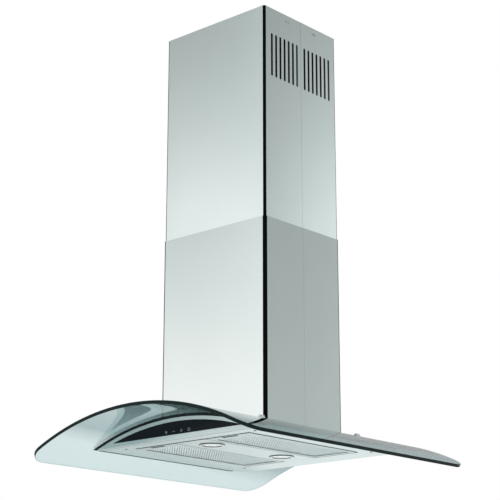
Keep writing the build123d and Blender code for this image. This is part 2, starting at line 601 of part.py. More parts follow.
# ---------------------------------------------------------------- collar, posts, brace, ceiling plate
collar = plate(COLLAR_WIDTH, COLLAR_DEPTH, COLLAR_CORNER, UNDER + CAVITY_FLANGE, COLLAR_Z)
collar = collar - arch(SHELL_R + RUNNING, -COLLAR_DEPTH, COLLAR_DEPTH)
lip_x = BRACE_X
flange = block(-lip_x, lip_x, -BRACE_Y, BRACE_Y, COLLAR_Z - COLLAR_WALL, COLLAR_Z)
collar = collar + flange
for side in (-1, 1):
    x0, x1 = sorted((side * lip_x, side * (lip_x - COLLAR_WALL)))
    collar = collar + block(x0, x1, -BRACE_Y, BRACE_Y, COLLAR_Z - COLLAR_WALL, COLLAR_Z + COLLAR_LIP)
collar = collar - plate(COLLAR_WIDTH - 2 * COLLAR_WALL, COLLAR_DEPTH - 2 * COLLAR_WALL,
                        COLLAR_CORNER - COLLAR_WALL, UNDER, COLLAR_Z + 1)


def angle_post(x, y, face_x, face_y, z0, z1):
    """L-section post whose outer faces are at face_x and face_y; x and y are the signs of its corner."""
    outer = block(face_x - POST_LEG, face_x, face_y - POST_LEG, face_y, z0, z1)
    outer = outer - block(face_x - 2 * POST_LEG, face_x - POST_SHEET, face_y - 2 * POST_LEG,
                          face_y - POST_SHEET, z0 - 1, z1 + 1)
    if x < 0:
        outer = mirror(outer, Plane.YZ)
    if y < 0:
        outer = mirror(outer, Plane.XZ)
    return outer


upper_z = -CEILING_SHEET - UPPER_POST_LENGTH
brace = block(-BRACE_X, BRACE_X, -BRACE_Y, BRACE_Y, BRACE_Z - BRACE_HEIGHT / 2, BRACE_Z + BRACE_HEIGHT / 2)
brace = brace - block(-BRACE_X + POST_SHEET, BRACE_X - POST_SHEET, -BRACE_Y + POST_SHEET,
                      BRACE_Y - POST_SHEET, BRACE_Z - BRACE_HEIGHT, BRACE_Z + BRACE_HEIGHT)
# each bolt: height, outer face that its head lies on, inner face that its nut lies on
bolt_rows = [
    (COLLAR_Z + FOOT_BOLT_RISE, LOWER_POST_X, lip_x - COLLAR_WALL),
    (BRACE_Z, POST_X, BRACE_X - POST_SHEET),
    (BRACE_Z - BOLT_PITCH, POST_X, LOWER_POST_X - POST_SHEET),
]
upper_posts, lower_posts, bolts, frame_nuts = [], [], [], []
for sx, sy in corners(1, 1):
    upper = angle_post(sx, sy, POST_X, POST_Y, upper_z, -CEILING_SHEET)
    lower = angle_post(sx, sy, LOWER_POST_X, LOWER_POST_Y, COLLAR_Z, LOWER_POST_TOP)
    for z, outer_x, inner_x in bolt_rows:
        start = (sx * outer_x, sy * BOLT_Y, z)
        hole = rod((sx * (outer_x + 1), sy * BOLT_Y, z), (-sx, 0, 0), BOLT_RADIUS + SCREW_CLEARANCE,
                   4 * POST_SETBACK)
        upper, lower, brace, collar = upper - hole, lower - hole, brace - hole, collar - hole
        length = outer_x - inner_x + NUT_HEIGHT + THREAD_END
        head = rod(start, (sx, 0, 0), BOLT_HEAD_RADIUS, BOLT_HEAD_HEIGHT)
        head = fillet(head.faces().sort_by(Axis.X)[-1 if sx > 0 else 0].edges(), BOLT_HEAD_HEIGHT / 2)
        bolts.append(head + rod(start, (-sx, 0, 0), BOLT_RADIUS, length))
        nut_face = (sx * inner_x, sy * BOLT_Y, z)
        frame_nuts.append(hexagon(nut_face, (-sx, 0, 0), NUT_RADIUS, NUT_HEIGHT, BOLT_RADIUS))
    upper_posts.append(upper)
    lower_posts.append(lower)

box_bolt_x = BOX_WIDTH / 2 + BOX_FLANGE / 2
collar_bolts, box_holes = [], []
for x, y in corners(box_bolt_x, BOX_BOLT_Y):
    seat = (x, y, COLLAR_Z + BOX_SHEET)
    box_holes.append(rod((x, y, COLLAR_Z - 2 * COLLAR_WALL), (0, 0, 1), BOX_BOLT_RADIUS + SCREW_CLEARANCE,
                         4 * COLLAR_WALL))
    bolt = rod(seat, (0, 0, 1), BOX_BOLT_HEAD, BOX_BOLT_HEAD_HEIGHT)
    collar_bolts.append(bolt + rod(seat, (0, 0, -1), BOX_BOLT_RADIUS, BOX_SHEET + 2 * COLLAR_WALL))
for hole in box_holes:
    collar = collar - hole
save("mounting_collar", collar)
save("collar_bolts", *collar_bolts)
save("upper_posts", *upper_posts)
save("lower_posts", *lower_posts)
save("frame_brace", brace)
save("frame_bolts", *bolts)
save("frame_nuts", *frame_nuts)

plate_x = COVER_WIDTH / 2 - COVER_SHEET - GAP
plate_y = COVER_DEPTH / 2 - COVER_SHEET - GAP
plate_bend = COVER_BEND - COVER_SHEET
ceiling = plate(2 * plate_x, 2 * plate_y, plate_bend, -CEILING_SHEET, 0)
for side in (-1, 1):
    x0, x1 = sorted((side * plate_x, side * (plate_x - CEILING_SHEET)))
    ceiling = ceiling + block(x0, x1, -BOLT_Y + POST_LEG, BOLT_Y - POST_LEG, -CEILING_FLANGE, 0)
    for y in (-HOOK_OFFSET, HOOK_OFFSET):
        x2, x3 = sorted((side * (plate_x - CEILING_SHEET / 2), side * (plate_x + GAP + COVER_SHEET / 2)))
        tab_top = -HOOK_TOP + HOOK_SLOT_HEIGHT / 2 - GAP
        ceiling = ceiling + block(x2, x3, y - HOOK_TAB_WIDTH / 2, y + HOOK_TAB_WIDTH / 2,
                                  tab_top - HOOK_TAB_HEIGHT, tab_top)
ceiling = ceiling - rod((0, OUTLET_Y, -2 * CEILING_SHEET), (0, 0, 1), DUCT_HOLE_RADIUS, 4 * CEILING_SHEET)
ceiling = ceiling - rod((GLAND_X, 0, -2 * CEILING_SHEET), (0, 0, 1), CABLE_HOLE_RADIUS, 4 * CEILING_SHEET)
for x, y in corners(CEILING_BOLT_X / 2, CEILING_BOLT_Y / 2):
    ceiling = ceiling - rod((x, y, -2 * CEILING_SHEET), (0, 0, 1), CEILING_BOLT_RADIUS, 4 * CEILING_SHEET)
save("ceiling_plate", ceiling)

# ---------------------------------------------------------------- chimney covers


def cover_half(width, depth, bend, z0, z1, lap_top):
    """Rear half of a cover stage; lap strips up to lap_top are fixed behind its seam edges."""
    outer = plate(width, depth, bend, z0, z1)
    inner = plate(width - 2 * COVER_SHEET, depth - 2 * COVER_SHEET, bend - COVER_SHEET, z0 - 1, z1 + 1)
    half = (outer - inner) & block(-width, width, SEAM_GAP / 2, depth, z0, z1)
    if lap_top is not None:
        for side in (-1, 1):
            face = width / 2 - COVER_SHEET
            x0, x1 = sorted((side * face, side * (face - COVER_SHEET)))
            half = half + block(x0, x1, SEAM_GAP / 2, LAP_WIDTH, z0, lap_top)
            x0, x1 = sorted((side * (face - RUNNING), side * (face - COVER_SHEET)))
            half = half + block(x0, x1, -LAP_WIDTH, LAP_WIDTH, z0, lap_top)
    return half


upper_bottom = UNDER + LOWER_COVER_TOP - COVER_OVERLAP
lower_width = COVER_WIDTH + 2 * (COVER_SHEET + COVER_PLAY)
lower_depth = COVER_DEPTH + 2 * (COVER_SHEET + COVER_PLAY)
lower_bend = COVER_BEND + COVER_SHEET + COVER_PLAY
glass_top = arch(GLASS_RADIUS + GLASS_SEAT, -GLASS_DEPTH, GLASS_DEPTH)

slots = []
for index in range(SLOT_COUNT):
    y = COVER_DEPTH / 2 - SLOT_MARGIN - index * SLOT_PITCH
    middle = (-COVER_WIDTH, y, -SLOT_TOP - SLOT_LENGTH / 2)
    outline = Plane(origin=middle, x_dir=(0, 0, 1), z_dir=(1, 0, 0)).location
    slots.append(extrude(outline * SlotOverall(SLOT_LENGTH, SLOT_WIDTH), 2 * COVER_WIDTH))
outline = Plane(origin=(-COVER_WIDTH, HOOK_OFFSET, -HOOK_TOP), x_dir=(0, 1, 0), z_dir=(1, 0, 0)).location
slots.append(extrude(outline * SlotOverall(HOOK_SLOT_LENGTH, HOOK_SLOT_HEIGHT), 2 * COVER_WIDTH))


def stage(width, depth, bend, z0, z1, lap_end, cuts):
    """Front and rear halves of one stage: the rear half carries the lap strips."""
    halves = []
    for lap_top, turn in ((None, 180), (lap_end, 0)):
        half = cover_half(width, depth, bend, z0, z1, lap_top)
        for cut in cuts:
            half = half - cut
        halves.append(Rot(0, 0, turn) * half)
    return halves


lower_top_z = UNDER + LOWER_COVER_TOP
upper_front, upper_rear = stage(COVER_WIDTH, COVER_DEPTH, COVER_BEND, upper_bottom, 0,
                                -CEILING_FLANGE - LAP_WIDTH, slots)
glass_edge_z = AXIS_Z + GLASS_UNDER_R * cos(edge_angle)
lower_front, lower_rear = stage(lower_width, lower_depth, lower_bend, glass_edge_z, lower_top_z,
                                lower_top_z, [glass_top])
save("upper_cover_front", upper_front)
save("upper_cover_rear", upper_rear)
save("lower_cover_front", lower_front)
save("lower_cover_rear", lower_rear)

# ---------------------------------------------------------------- blower box
box_half_x = BOX_WIDTH / 2
box_half_y = BOX_DEPTH / 2
blower_box = block(-box_half_x, box_half_x, -box_half_y, box_half_y, COLLAR_Z, BOX_TOP)
blower_box = blower_box + block(-box_half_x - BOX_FLANGE, box_half_x + BOX_FLANGE,
                                -box_half_y - BOX_FLANGE, box_half_y + BOX_FLANGE,
                                COLLAR_Z, COLLAR_Z + BOX_SHEET)
blower_box = blower_box - block(-box_half_x + BOX_SHEET, box_half_x - BOX_SHEET, -box_half_y + BOX_SHEET,
                                box_half_y - BOX_SHEET, COLLAR_Z - 1, BOX_TOP - BOX_SHEET)
blower_box = blower_box - rod((0, OUTLET_Y, COLLAR_Z), (0, 0, 1), SPIGOT_RADIUS - SPIGOT_WALL, 2 * BOX_HEIGHT)
for hole in box_holes:
    blower_box = blower_box - hole
save("blower_box", blower_box)

# ---------------------------------------------------------------- scroll housing


def scroll_profile(inset, top):
    """Spiral casing in the YZ plane, opening upwards through its neck."""
    start, turn = 90, 270
    points = []
    for step in range(10):
        angle = radians(start + turn * step / 9)
        radius = SCROLL_START + (SCROLL_END - SCROLL_START) * step / 9 - inset
        points.append((FAN_Y + radius * cos(angle), FAN_Z + radius * sin(angle)))
    neck_outer = FAN_Y + SCROLL_END - inset
    neck_inner = FAN_Y + SCROLL_END - NECK_DEPTH + inset
    spiral = Spline(*points)
    rest = Polyline(points[-1], (neck_outer, top), (neck_inner, top), (neck_inner, points[0][1]), points[0])
    return make_face(spiral + rest)


yz = Plane(origin=(0, 0, 0), x_dir=(0, 1, 0), z_dir=(1, 0, 0))
scroll_half = SCROLL_WIDTH / 2
neck_top = BOX_TOP - BOX_SHEET
body_half = extrude(yz.location * scroll_profile(0, neck_top), scroll_half)
neck_rear = FAN_Y + SCROLL_END
body_half = body_half + block(0, scroll_half + NECK_FLANGE, neck_rear - NECK_DEPTH - NECK_FLANGE,
                              neck_rear + NECK_FLANGE, neck_top - SCROLL_WALL, neck_top)
void_half = extrude(yz.location * scroll_profile(SCROLL_WALL, neck_top + 1), scroll_half - SCROLL_WALL)
inlet = rod((0, FAN_Y, FAN_Z), (1, 0, 0), INLET_RADIUS, SCROLL_WIDTH)
scroll_right = body_half - void_half - inlet
scroll_left = mirror(scroll_right, Plane.YZ)
save("scroll_right", scroll_right)
save("scroll_left", scroll_left)

# ---------------------------------------------------------------- impeller, shaft and motor


def along(x):
    """Point of the fan's axis."""
    return (x, FAN_Y, FAN_Z)


half_fan = FAN_WIDTH / 2
disc = rod(along(-FAN_SHEET / 2), (1, 0, 0), FAN_RADIUS, FAN_SHEET)
disc = disc + rod(along(FAN_SHEET / 2 - HUB_LENGTH), (1, 0, 0), HUB_RADIUS, HUB_LENGTH)
save("fan_disc", disc - rod(along(-FAN_WIDTH), (1, 0, 0), SHAFT_RADIUS, 2 * FAN_WIDTH))
save("fan_rings", *[tube(along(x), (1, 0, 0), FAN_RADIUS, FAN_RADIUS - FAN_RING, FAN_SHEET)
                    for x in (-half_fan, half_fan - FAN_SHEET)])
blade_length = half_fan - 1.5 * FAN_SHEET
blade_radius = FAN_RADIUS - FAN_RING / 2
blades = []
for index in range(BLADE_COUNT):
    turn = Rot(360 * index / BLADE_COUNT, 0, 0) * Pos(0, 0, blade_radius) * Rot(BLADE_ANGLE, 0, 0)
    for x in (-half_fan / 2 + FAN_SHEET / 4, half_fan / 2 - FAN_SHEET / 4):
        blades.append(Pos(*along(x)) * turn * Box(blade_length, BLADE_THICK, BLADE_CHORD))
save("fan_blades", *blades)

motor_end = scroll_half
motor_start = motor_end - MOTOR_LENGTH
case = rod(along(motor_start), (1, 0, 0), MOTOR_RADIUS, MOTOR_LENGTH)
case = case - rod(along(motor_start + MOTOR_WALL), (1, 0, 0), MOTOR_RADIUS - MOTOR_WALL,
                  MOTOR_LENGTH - 2 * MOTOR_WALL)
seat_radius = BEARING_RADIUS + BEARING_SEAT
front_bearing = motor_start + MOTOR_WALL / 2
rear_bearing = motor_end - MOTOR_WALL / 2 - BEARING_WIDTH
case = case + rod(along(motor_start), (1, 0, 0), seat_radius, MOTOR_WALL / 2 + BEARING_WIDTH)
case = case + rod(along(rear_bearing), (1, 0, 0), seat_radius, MOTOR_WALL / 2 + BEARING_WIDTH)
case = case - rod(along(front_bearing), (1, 0, 0), BEARING_RADIUS,
                  rear_bearing + BEARING_WIDTH - front_bearing)
case = case - rod(along(motor_start - 1), (1, 0, 0), SHAFT_RADIUS + 1, MOTOR_LENGTH / 2)
save("motor_case", case)
bearings = [tube(along(x), (1, 0, 0), BEARING_RADIUS, SHAFT_RADIUS + RUNNING, BEARING_WIDTH)
            for x in (front_bearing, rear_bearing)]
save("motor_bearings", *bearings)
motor_mid = (motor_start + motor_end) / 2
save("motor_stator", tube(along(motor_mid - STATOR_LENGTH / 2), (1, 0, 0), MOTOR_RADIUS - MOTOR_WALL,
                          STATOR_RADIUS, STATOR_LENGTH))
save("motor_rotor", tube(along(motor_mid - STATOR_LENGTH / 2), (1, 0, 0), STATOR_RADIUS - AIR_GAP,
                         SHAFT_RADIUS, STATOR_LENGTH))
shaft_start = -HUB_LENGTH
save("motor_shaft", rod(along(shaft_start), (1, 0, 0), SHAFT_RADIUS, rear_bearing + BEARING_WIDTH - shaft_start))

spider = rod(along(motor_end), (1, 0, 0), MOTOR_RADIUS, BRACKET_THICK)
for i in range(3):
    arm = block(0, BRACKET_THICK, -BRACKET_ARM / 2, BRACKET_ARM / 2, 0, BRACKET_REACH)
    spider = spider + Pos(motor_end, FAN_Y, FAN_Z) * Rot(60 + 120 * i, 0, 0) * arm
save("motor_bracket", spider)

# ---------------------------------------------------------------- outlet spigot and non-return flaps
centre = (0, OUTLET_Y)
spigot_bore = SPIGOT_RADIUS - SPIGOT_WALL
spigot = tube((*centre, BOX_TOP), (0, 0, 1), SPIGOT_RADIUS, spigot_bore, SPIGOT_HEIGHT)
spigot = spigot + tube((*centre, BOX_TOP), (0, 0, 1), SPIGOT_FLANGE, spigot_bore, SPIGOT_WALL)
ledge_top = FLAP_Z - FLAP_THICK / 2 - GAP
spigot = spigot + tube((*centre, ledge_top - SPIGOT_WALL), (0, 0, 1), SPIGOT_RADIUS,
                       spigot_bore - SPIGOT_LEDGE, SPIGOT_WALL)
pin_half = SPIGOT_RADIUS
spigot = spigot - rod((-2 * pin_half, OUTLET_Y, FLAP_Z), (1, 0, 0), ROD_RADIUS + RUNNING, 4 * pin_half)
save("outlet_spigot", spigot)
save("damper_rod", rod((-pin_half, OUTLET_Y, FLAP_Z), (1, 0, 0), ROD_RADIUS, 2 * pin_half))

flap_radius = spigot_bore - FLAP_PLAY
# the knuckles of the two flaps take turns along the rod: half a pitch and 1.6 pitches from its middle
for name, side, offset in (("front", -1, 0.5), ("rear", 1, 1.6)):
    disc = rod((0, 0, -FLAP_THICK / 2), (0, 0, 1), flap_radius, FLAP_THICK)
    flap = disc & block(-SPIGOT_RADIUS, SPIGOT_RADIUS, FLAP_SETBACK, SPIGOT_RADIUS, -FLAP_THICK, FLAP_THICK)
    for sign in (-1, 1):
        x = sign * offset * 2 * KNUCKLE_LENGTH - KNUCKLE_LENGTH / 2
        flap = flap + rod((x, 0, 0), (1, 0, 0), KNUCKLE_RADIUS, KNUCKLE_LENGTH)
        flap = flap + block(x, x + KNUCKLE_LENGTH, 0, FLAP_SETBACK + 1, -FLAP_THICK / 2, FLAP_THICK / 2)
    flap = flap - rod((-SPIGOT_RADIUS, 0, 0), (1, 0, 0), ROD_RADIUS + RUNNING, 2 * SPIGOT_RADIUS)
    if side < 0:
        flap = mirror(flap, Plane.XZ)
    save(f"damper_flap_{name}", Pos(0, OUTLET_Y, FLAP_Z) * flap)

# ---------------------------------------------------------------- control box
control_z = COLLAR_Z + CONTROL_RISE
control_x = box_half_x
control = block(control_x, control_x + CONTROL_DEPTH, -CONTROL_WIDTH / 2, CONTROL_WIDTH / 2,
                control_z, control_z + CONTROL_HEIGHT)
control = control - block(control_x - 1, control_x + CONTROL_DEPTH - CONTROL_WALL,
                          -CONTROL_WIDTH / 2 + CONTROL_WALL, CONTROL_WIDTH / 2 - CONTROL_WALL,
                          control_z + CONTROL_WALL, control_z + CONTROL_HEIGHT - CONTROL_WALL)
gland_z = control_z + CONTROL_HEIGHT
control = control - rod((GLAND_X, 0, gland_z - 2 * CONTROL_WALL), (0, 0, 1), GLAND_BORE, 4 * CONTROL_WALL)
save("control_box", control)
save("cable_gland", tube((GLAND_X, 0, gland_z), (0, 0, 1), GLAND_RADIUS, GLAND_BORE, GLAND_LENGTH))
board_y = CONTROL_WIDTH / 2 - CONTROL_BOARD_MARGIN
board_x = control_x + CONTROL_BOARD_OFFSET
control_board = block(board_x, board_x + BOARD_THICK, -board_y, board_y, control_z + CONTROL_BOARD_MARGIN,
                      control_z + CONTROL_HEIGHT - 2 * CONTROL_BOARD_MARGIN)
for y in (-board_y + CONTROL_BOARD_MARGIN, board_y - CONTROL_BOARD_MARGIN):
    standoff_z = control_z + 2 * CONTROL_BOARD_MARGIN
    control_board = control_board + rod((control_x, y, standoff_z), (1, 0, 0), CONTROL_WALL, CONTROL_BOARD_OFFSET)
save("control_board", control_board)
capacitor_x = board_x + BOARD_THICK + CAPACITOR_RADIUS
save("capacitor", rod((capacitor_x, -CAPACITOR_LENGTH / 2, control_z + CONTROL_HEIGHT / 2), (0, 1, 0),
                      CAPACITOR_RADIUS, CAPACITOR_LENGTH))
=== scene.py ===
"""Studio scene of the curved glass range hood, dressed over its fixed solids.

Metres, +Z up. The origin is the middle of the ceiling plate's upper face, and the front faces -Y.
"""
from math import acos, asin, cos, degrees, pi, radians, sin, sqrt

import bmesh
import bpy
from mathutils import Matrix, Vector


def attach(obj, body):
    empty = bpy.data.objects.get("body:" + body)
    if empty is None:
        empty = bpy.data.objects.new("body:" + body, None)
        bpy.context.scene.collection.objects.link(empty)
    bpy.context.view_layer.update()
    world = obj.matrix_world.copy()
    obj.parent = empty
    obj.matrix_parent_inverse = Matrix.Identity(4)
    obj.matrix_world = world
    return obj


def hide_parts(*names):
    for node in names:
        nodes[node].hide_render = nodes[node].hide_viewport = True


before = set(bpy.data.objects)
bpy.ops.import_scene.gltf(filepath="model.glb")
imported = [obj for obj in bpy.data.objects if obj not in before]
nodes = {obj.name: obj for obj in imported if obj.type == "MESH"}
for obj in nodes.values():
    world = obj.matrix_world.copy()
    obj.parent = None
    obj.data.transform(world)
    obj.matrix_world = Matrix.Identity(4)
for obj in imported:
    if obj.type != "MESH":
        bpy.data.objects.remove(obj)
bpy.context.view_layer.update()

UNDER = -1.072                  # flat underside of the body
GAP = 0.0003                    # play between parts that fit into each other
SOFT, FINE, TINY = 0.0003, 0.0002, 0.0001       # rounding of sheet edges and of smaller ones

# glass
GLASS_WIDTH, GLASS_DEPTH, GLASS_THICK = 0.6994, 0.810, 0.008
GLASS_RADIUS = 0.732
GLASS_CORNER = 0.050
GLASS_BEVEL = 0.001
AXIS_Z = -1.7400712             # axis of the arch
CUTOUT_WIDTH, CUTOUT_DEPTH, CUTOUT_CORNER = 0.262, 0.222, 0.026
GLASS_HOLE = 0.0053
GLASS_SCREW_X, GLASS_SCREW_Y = 0.186, 0.175
GASKET_OUTSIDE, GASKET_THICK, GASKET_DEPTH, GASKET_ROUND = 0.72385, 0.0067, 0.012, 0.0005
GASKET_FRONT, GASKET_REAR, GASKET_REAR_HALF = -0.2625, 0.2325, 0.208
GASKET_FLOOR = UNDER + 0.0018
FRONT_TRIM, REAR_TRIM = 0.0006, 0.002           # how far the strips stop short at each end
SHEET_PITCH, STRIP_PITCH = 0.0045, 0.006        # distance between bends

# screws and washers on the glass
WASHER_BORE, WASHER_MOUTH, WASHER_RADIUS, WASHER_THICK, WASHER_EDGE = 0.00325, 0.0035, 0.009, 0.0015, 0.0004
WASHER_SEAT = GLASS_RADIUS + 0.00015
HEAD_RADIUS, HEAD_HEIGHT, HEAD_ROUND, SCREW_EDGE = 0.0065, 0.0035, 0.0018, 0.0004
SHANK_RADIUS, SHANK_LENGTH, SHANK_TIP = 0.003, 0.028, 0.0006
SOCKET_RADIUS, SOCKET_MOUTH, SOCKET_FLOOR = 0.002, 0.0026, 0.0018

# body
BODY_HALF, BODY_REAR, BODY_CORNER = 0.268, 0.2625, 0.060
PANEL_FRONT, PANEL_SHEET = -0.2522, 0.0015
PANEL_FACE = 0.0011             # height of the underside's face inside its lip
LIP_WIDTH, LIP_END = 0.0014, 0.2225             # the lip has run out at its end, towards the rear
FASCIA_FRONT, FASCIA_DEPTH, FASCIA_RADIUS, FASCIA_ROUND = -0.2625, 0.010, 0.717, 0.0006
WINDOW_RADIUS, WINDOW_ROUND, FASCIA_SILL = 0.7085, 0.0004, 0.010
TOUCH_FRONT, TOUCH_THICK, TOUCH_RADIUS = -0.2619, 0.004, 0.7082
CAVITY = (-0.183, 0.183, -0.212, 0.186, 0.006)  # left, right, front, rear, corner
CAVITY_WALL = 0.014
PANEL_SCREWS = [(x, y) for x in (-0.205, 0.205) for y in (-0.218, 0.205)]
PANEL_HEAD, PANEL_SCREW_TOP = 0.0039, 0.009
CROSS_REACH, CROSS_HALF, CROSS_DEPTH = 0.002, 0.0003, 0.0007
ICON_HEIGHT, ICON_FACE, ICON_THICK = UNDER + 0.0175, -0.2621, 0.0002
ICON_CENTRES = (-0.028, -0.004, 0.020, 0.044)
ICON_SIZE, ICON_LINE, RAY_LENGTH, RAY_COUNT = 0.008, 0.001, 0.0018, 6

# lamp bar and lamps
BAR_HALF, BAR_FRONT, BAR_REAR, BAR_CORNER = 0.048, -0.2117, 0.1857, 0.0012
BAR_SHEET, BAR_FLANGE = 0.001, 0.010
LAMPS_Y = (-0.138, 0.112)
LAMP_HOLE = 0.0265
RING_INSIDE, RING_OUTSIDE, RING_DROP, RING_ROUND, RING_EDGE = 0.0232, 0.031, 0.0016, 0.0008, 0.0004
SLEEVE_INSIDE, SLEEVE_OUTSIDE, SLEEVE_TOP = 0.0247, 0.0262, 0.008
LENS_RADIUS, LENS_THICK, LENS_EDGE = 0.02455, 0.002, 0.00025
LENS_CROWN, CROWN_MIDDLE, CROWN_END = 0.0002, 0.0150, 0.0215

# filters
FILTER_X, FILTER_HALF = 0.1155, 0.0665
FILTER_FRONT, FILTER_REAR, FILTER_THICK, FILTER_CORNER, FILTER_ROUND = -0.211, 0.177, 0.009, 0.004, 0.0010
WINDOW_HALF, WINDOW_FRONT, WINDOW_REAR, WINDOW_EDGE = 0.0545, -0.187, 0.163, 0.0004
LEDGE, LEDGE_THICK = 0.003, 0.0012
POCKET_HALF, POCKET_FRONT, POCKET_REAR, POCKET_TOP = 0.023, -0.206, -0.1971, 0.0065
POCKET_CORNER, POCKET_EDGE = 0.0006, 0.0004
CHANNEL_HALF, CHANNEL_LOW, CHANNEL_TOP, OVERRUN = 0.0073, 0.0019, 0.0053, 0.001
SPRING_HOLE, SPRING_Z, SPRING_END = 0.0016, 0.0036, -0.1921
HINGE_Y, HINGE_Z, HINGE_HALF = 0.181, 0.005, 0.045
LUG_HALF, LUG_RADIUS, LUG_SINK, TRUNNION, TRUNNION_HALF = 0.004, 0.0024, 0.0005, 0.0015, 0.0058
TONGUE = (-0.007, 0.007, -0.2117, -0.2017, 0.0022, 0.0050, 0.0003)      # a bar: ends, heights and rounding
FINGER_PLATE = (-0.021, 0.021, -0.2057, -0.2037, 0.0003, 0.0062, 0.0004)
STRAND, STRAND_WIDE, STRAND_TALL, STRAND_TWIST = 0.0040, 0.0025, 0.0006, 0.0003
MESH_LAYERS = (0.0013, 0.0030, 0.0048)
MESH_REACH = WINDOW_HALF + LEDGE - GAP - FINE
MESH_END, MESH_SHIFT = 0.001, 0.0005            # margin at the ends; how far each layer is set back

# chimney covers
COVER_SHEET, COVER_ROUND = 0.0008, 0.00018
SEAM = 0.0005
UPPER = dict(width=0.333, depth=0.277, bend=0.006, top=0.0, foot=-0.634, lap_top=-0.042)
LOWER = dict(width=0.337, depth=0.281, bend=0.008, top=-0.544, foot=None, lap_top=-0.544)
GLASS_SEAT = 0.0004
BEND_SNAP = 0.0003              # points this close to a bend's limit move onto it
BEND_STEPS, FOOT_STEPS = 12, 40
LAP, LAP_BEHIND, LAP_CORNER, LAP_ROUND = 0.012, 0.00005, 0.0015, 0.00015
SLOT_COUNT, SLOT_PITCH, SLOT_WIDTH, SLOT_LENGTH = 7, 0.016, 0.007, 0.113
SLOT_TOP, SLOT_MARGIN = 0.067, 0.028
HOOK_LENGTH, HOOK_HEIGHT, HOOK_TOP, HOOK_OFFSET = 0.014, 0.005, 0.017, 0.0515


# -------- shader helpers
NOISE_SPAN = (0.3, 0.7)         # where a noise has nearly all its values


class Look:
    """Node tree of a material or a world. Each input takes a plain value or another node's output."""

    def __init__(self, tree):
        self.tree = tree
        self.surface = tree.nodes.get("Principled BSDF")

    def feed(self, node, inputs):
        for key, value in inputs.items():
            if isinstance(value, bpy.types.NodeSocket):
                self.tree.links.new(value, node.inputs[key])
            else:
                node.inputs[key].default_value = value
        return node

    def add(self, kind, inputs=None):
        return self.feed(self.tree.nodes.new("ShaderNode" + kind), inputs or {})

    def math(self, operation, *values):
        node = self.add("Math")
        node.operation = operation
        return self.feed(node, dict(enumerate(values))).outputs[0]

    def object_place(self):
        return self.add("TexCoord").outputs["Object"]

    def noise(self, scale, detail=3.0):
        """Noise in the object's own metres, drawn out along the axis with the smallest scale."""
        mapping = self.add("Mapping", {"Vector": self.object_place(), "Scale": scale})
        noise = self.add("TexNoise", {"Vector": mapping.outputs["Vector"], "Scale": 1.0, "Detail": detail})
        return noise.outputs["Fac"]

    def ranged(self, value, start, end, low=0.0, high=1.0):
        """A value from start to end mapped to low to high."""
        limits = {"From Min": start, "From Max": end, "To Min": low, "To Max": high}
        return self.add("MapRange", {"Value": value, **limits}).outputs["Result"]

    def spread(self, noise, low, high):
        return self.ranged(noise, *NOISE_SPAN, low, high)

    def uneven(self, noise, roughness):
        """Roughness that a noise varies by 15 per cent."""
        return self.spread(noise, roughness * 0.85, min(1.0, roughness * 1.15))

    def ramp(self, value, stops):
        """Colours at their places along a value from 0 to 1."""
        node = self.add("ValToRGB", {"Fac": value})
        points = node.color_ramp.elements
        points.remove(points[1])
        for i, (place, colour) in enumerate(stops):
            point = points.new(place) if i else points[0]
            point.position = place
            point.color = (*colour, 1)
        return node.outputs["Color"]

    def blended(self, noise, dark, light):
        return self.ramp(noise, zip(NOISE_SPAN, (dark, light)))

    def bumped(self, height, distance, normal=None):
        bump = self.add("Bump", {"Strength": 1.0, "Distance": distance, "Height": height})
        return self.feed(bump, {} if normal is None else {"Normal": normal}).outputs["Normal"]

    def layered(self, mask, base, layer):
        """The base colour with a layer over it where the mask is 1."""
        mix = self.add("Mix")
        mix.data_type = "RGBA"
        return self.feed(mix, {"Factor": mask, 6: base, 7: layer}).outputs[2]

    def rays(self, *kinds):
        """1 for rays of any of these kinds."""
        path = self.add("LightPath").outputs
        seen = path[f"Is {kinds[0]} Ray"]
        for kind in kinds[1:]:
            seen = self.math("MAXIMUM", seen, path[f"Is {kind} Ray"])
        return seen

    def shown(self, mask, first, second):
        """The surface shows the first shader where the mask is 0 and the second where it is 1."""
        mix = self.add("MixShader", {"Fac": mask, 1: first, 2: second})
        self.tree.links.new(mix.outputs[0], self.tree.nodes["Material Output"].inputs["Surface"])

    def clear(self, colour):
        return self.add("BsdfTransparent", {"Color": (*colour, 1)}).outputs[0]

    def from_behind(self):
        return self.add("NewGeometry").outputs["Backfacing"]


def material(name):
    mat = bpy.data.materials.new(name)
    mat.use_nodes = True
    return mat, Look(mat.node_tree)


def painted_bend_mask(look, size):
    """1 on the bends of a chimney cover, where a dark reflection is painted."""
    place = look.add("SeparateXYZ", {0: look.object_place()}).outputs
    return look.math("MULTIPLY", *[
        look.math("GREATER_THAN", look.math("ABSOLUTE", place[axis]), span / 2 - BEND_SHARE * size["bend"])
        for axis, span in (("X", size["width"]), ("Y", size["depth"]))])


def brushed(name, dark, light, roughness, grain, metallic=1.0, bump=0.000004, turn=0.0, cover=None):
    """Sheet metal brushed along the axis with the smallest grain. What it reflects is turned about Z by a few
    degrees, and a dark reflection is painted near-black on the bends of a cover."""
    mat, look = material(name)
    streaks, patches = look.noise(grain, 4.0), look.noise((7.0,) * 3, 2.0)
    mixed = look.add("Mix", {"Factor": 0.55, "A": streaks, "B": patches})
    colour = look.blended(mixed.outputs["Result"], dark, light)
    if cover:
        # painted reflection: the bends are coloured near-black
        colour = look.layered(painted_bend_mask(look, cover), colour, BEND_PAINTED_REFLECTION)
    normal = None
    if turn:
        facing_out = look.add("NewGeometry").outputs["Normal"]
        swing = look.add("VectorRotate")
        swing.rotation_type = "Z_AXIS"
        normal = look.feed(swing, {"Angle": radians(turn), "Vector": facing_out}).outputs["Vector"]
    look.feed(look.surface, {
        "Metallic": metallic, "Base Color": colour, "Roughness": look.uneven(streaks, roughness),
        "Normal": look.bumped(streaks, bump, normal)})
    return mat


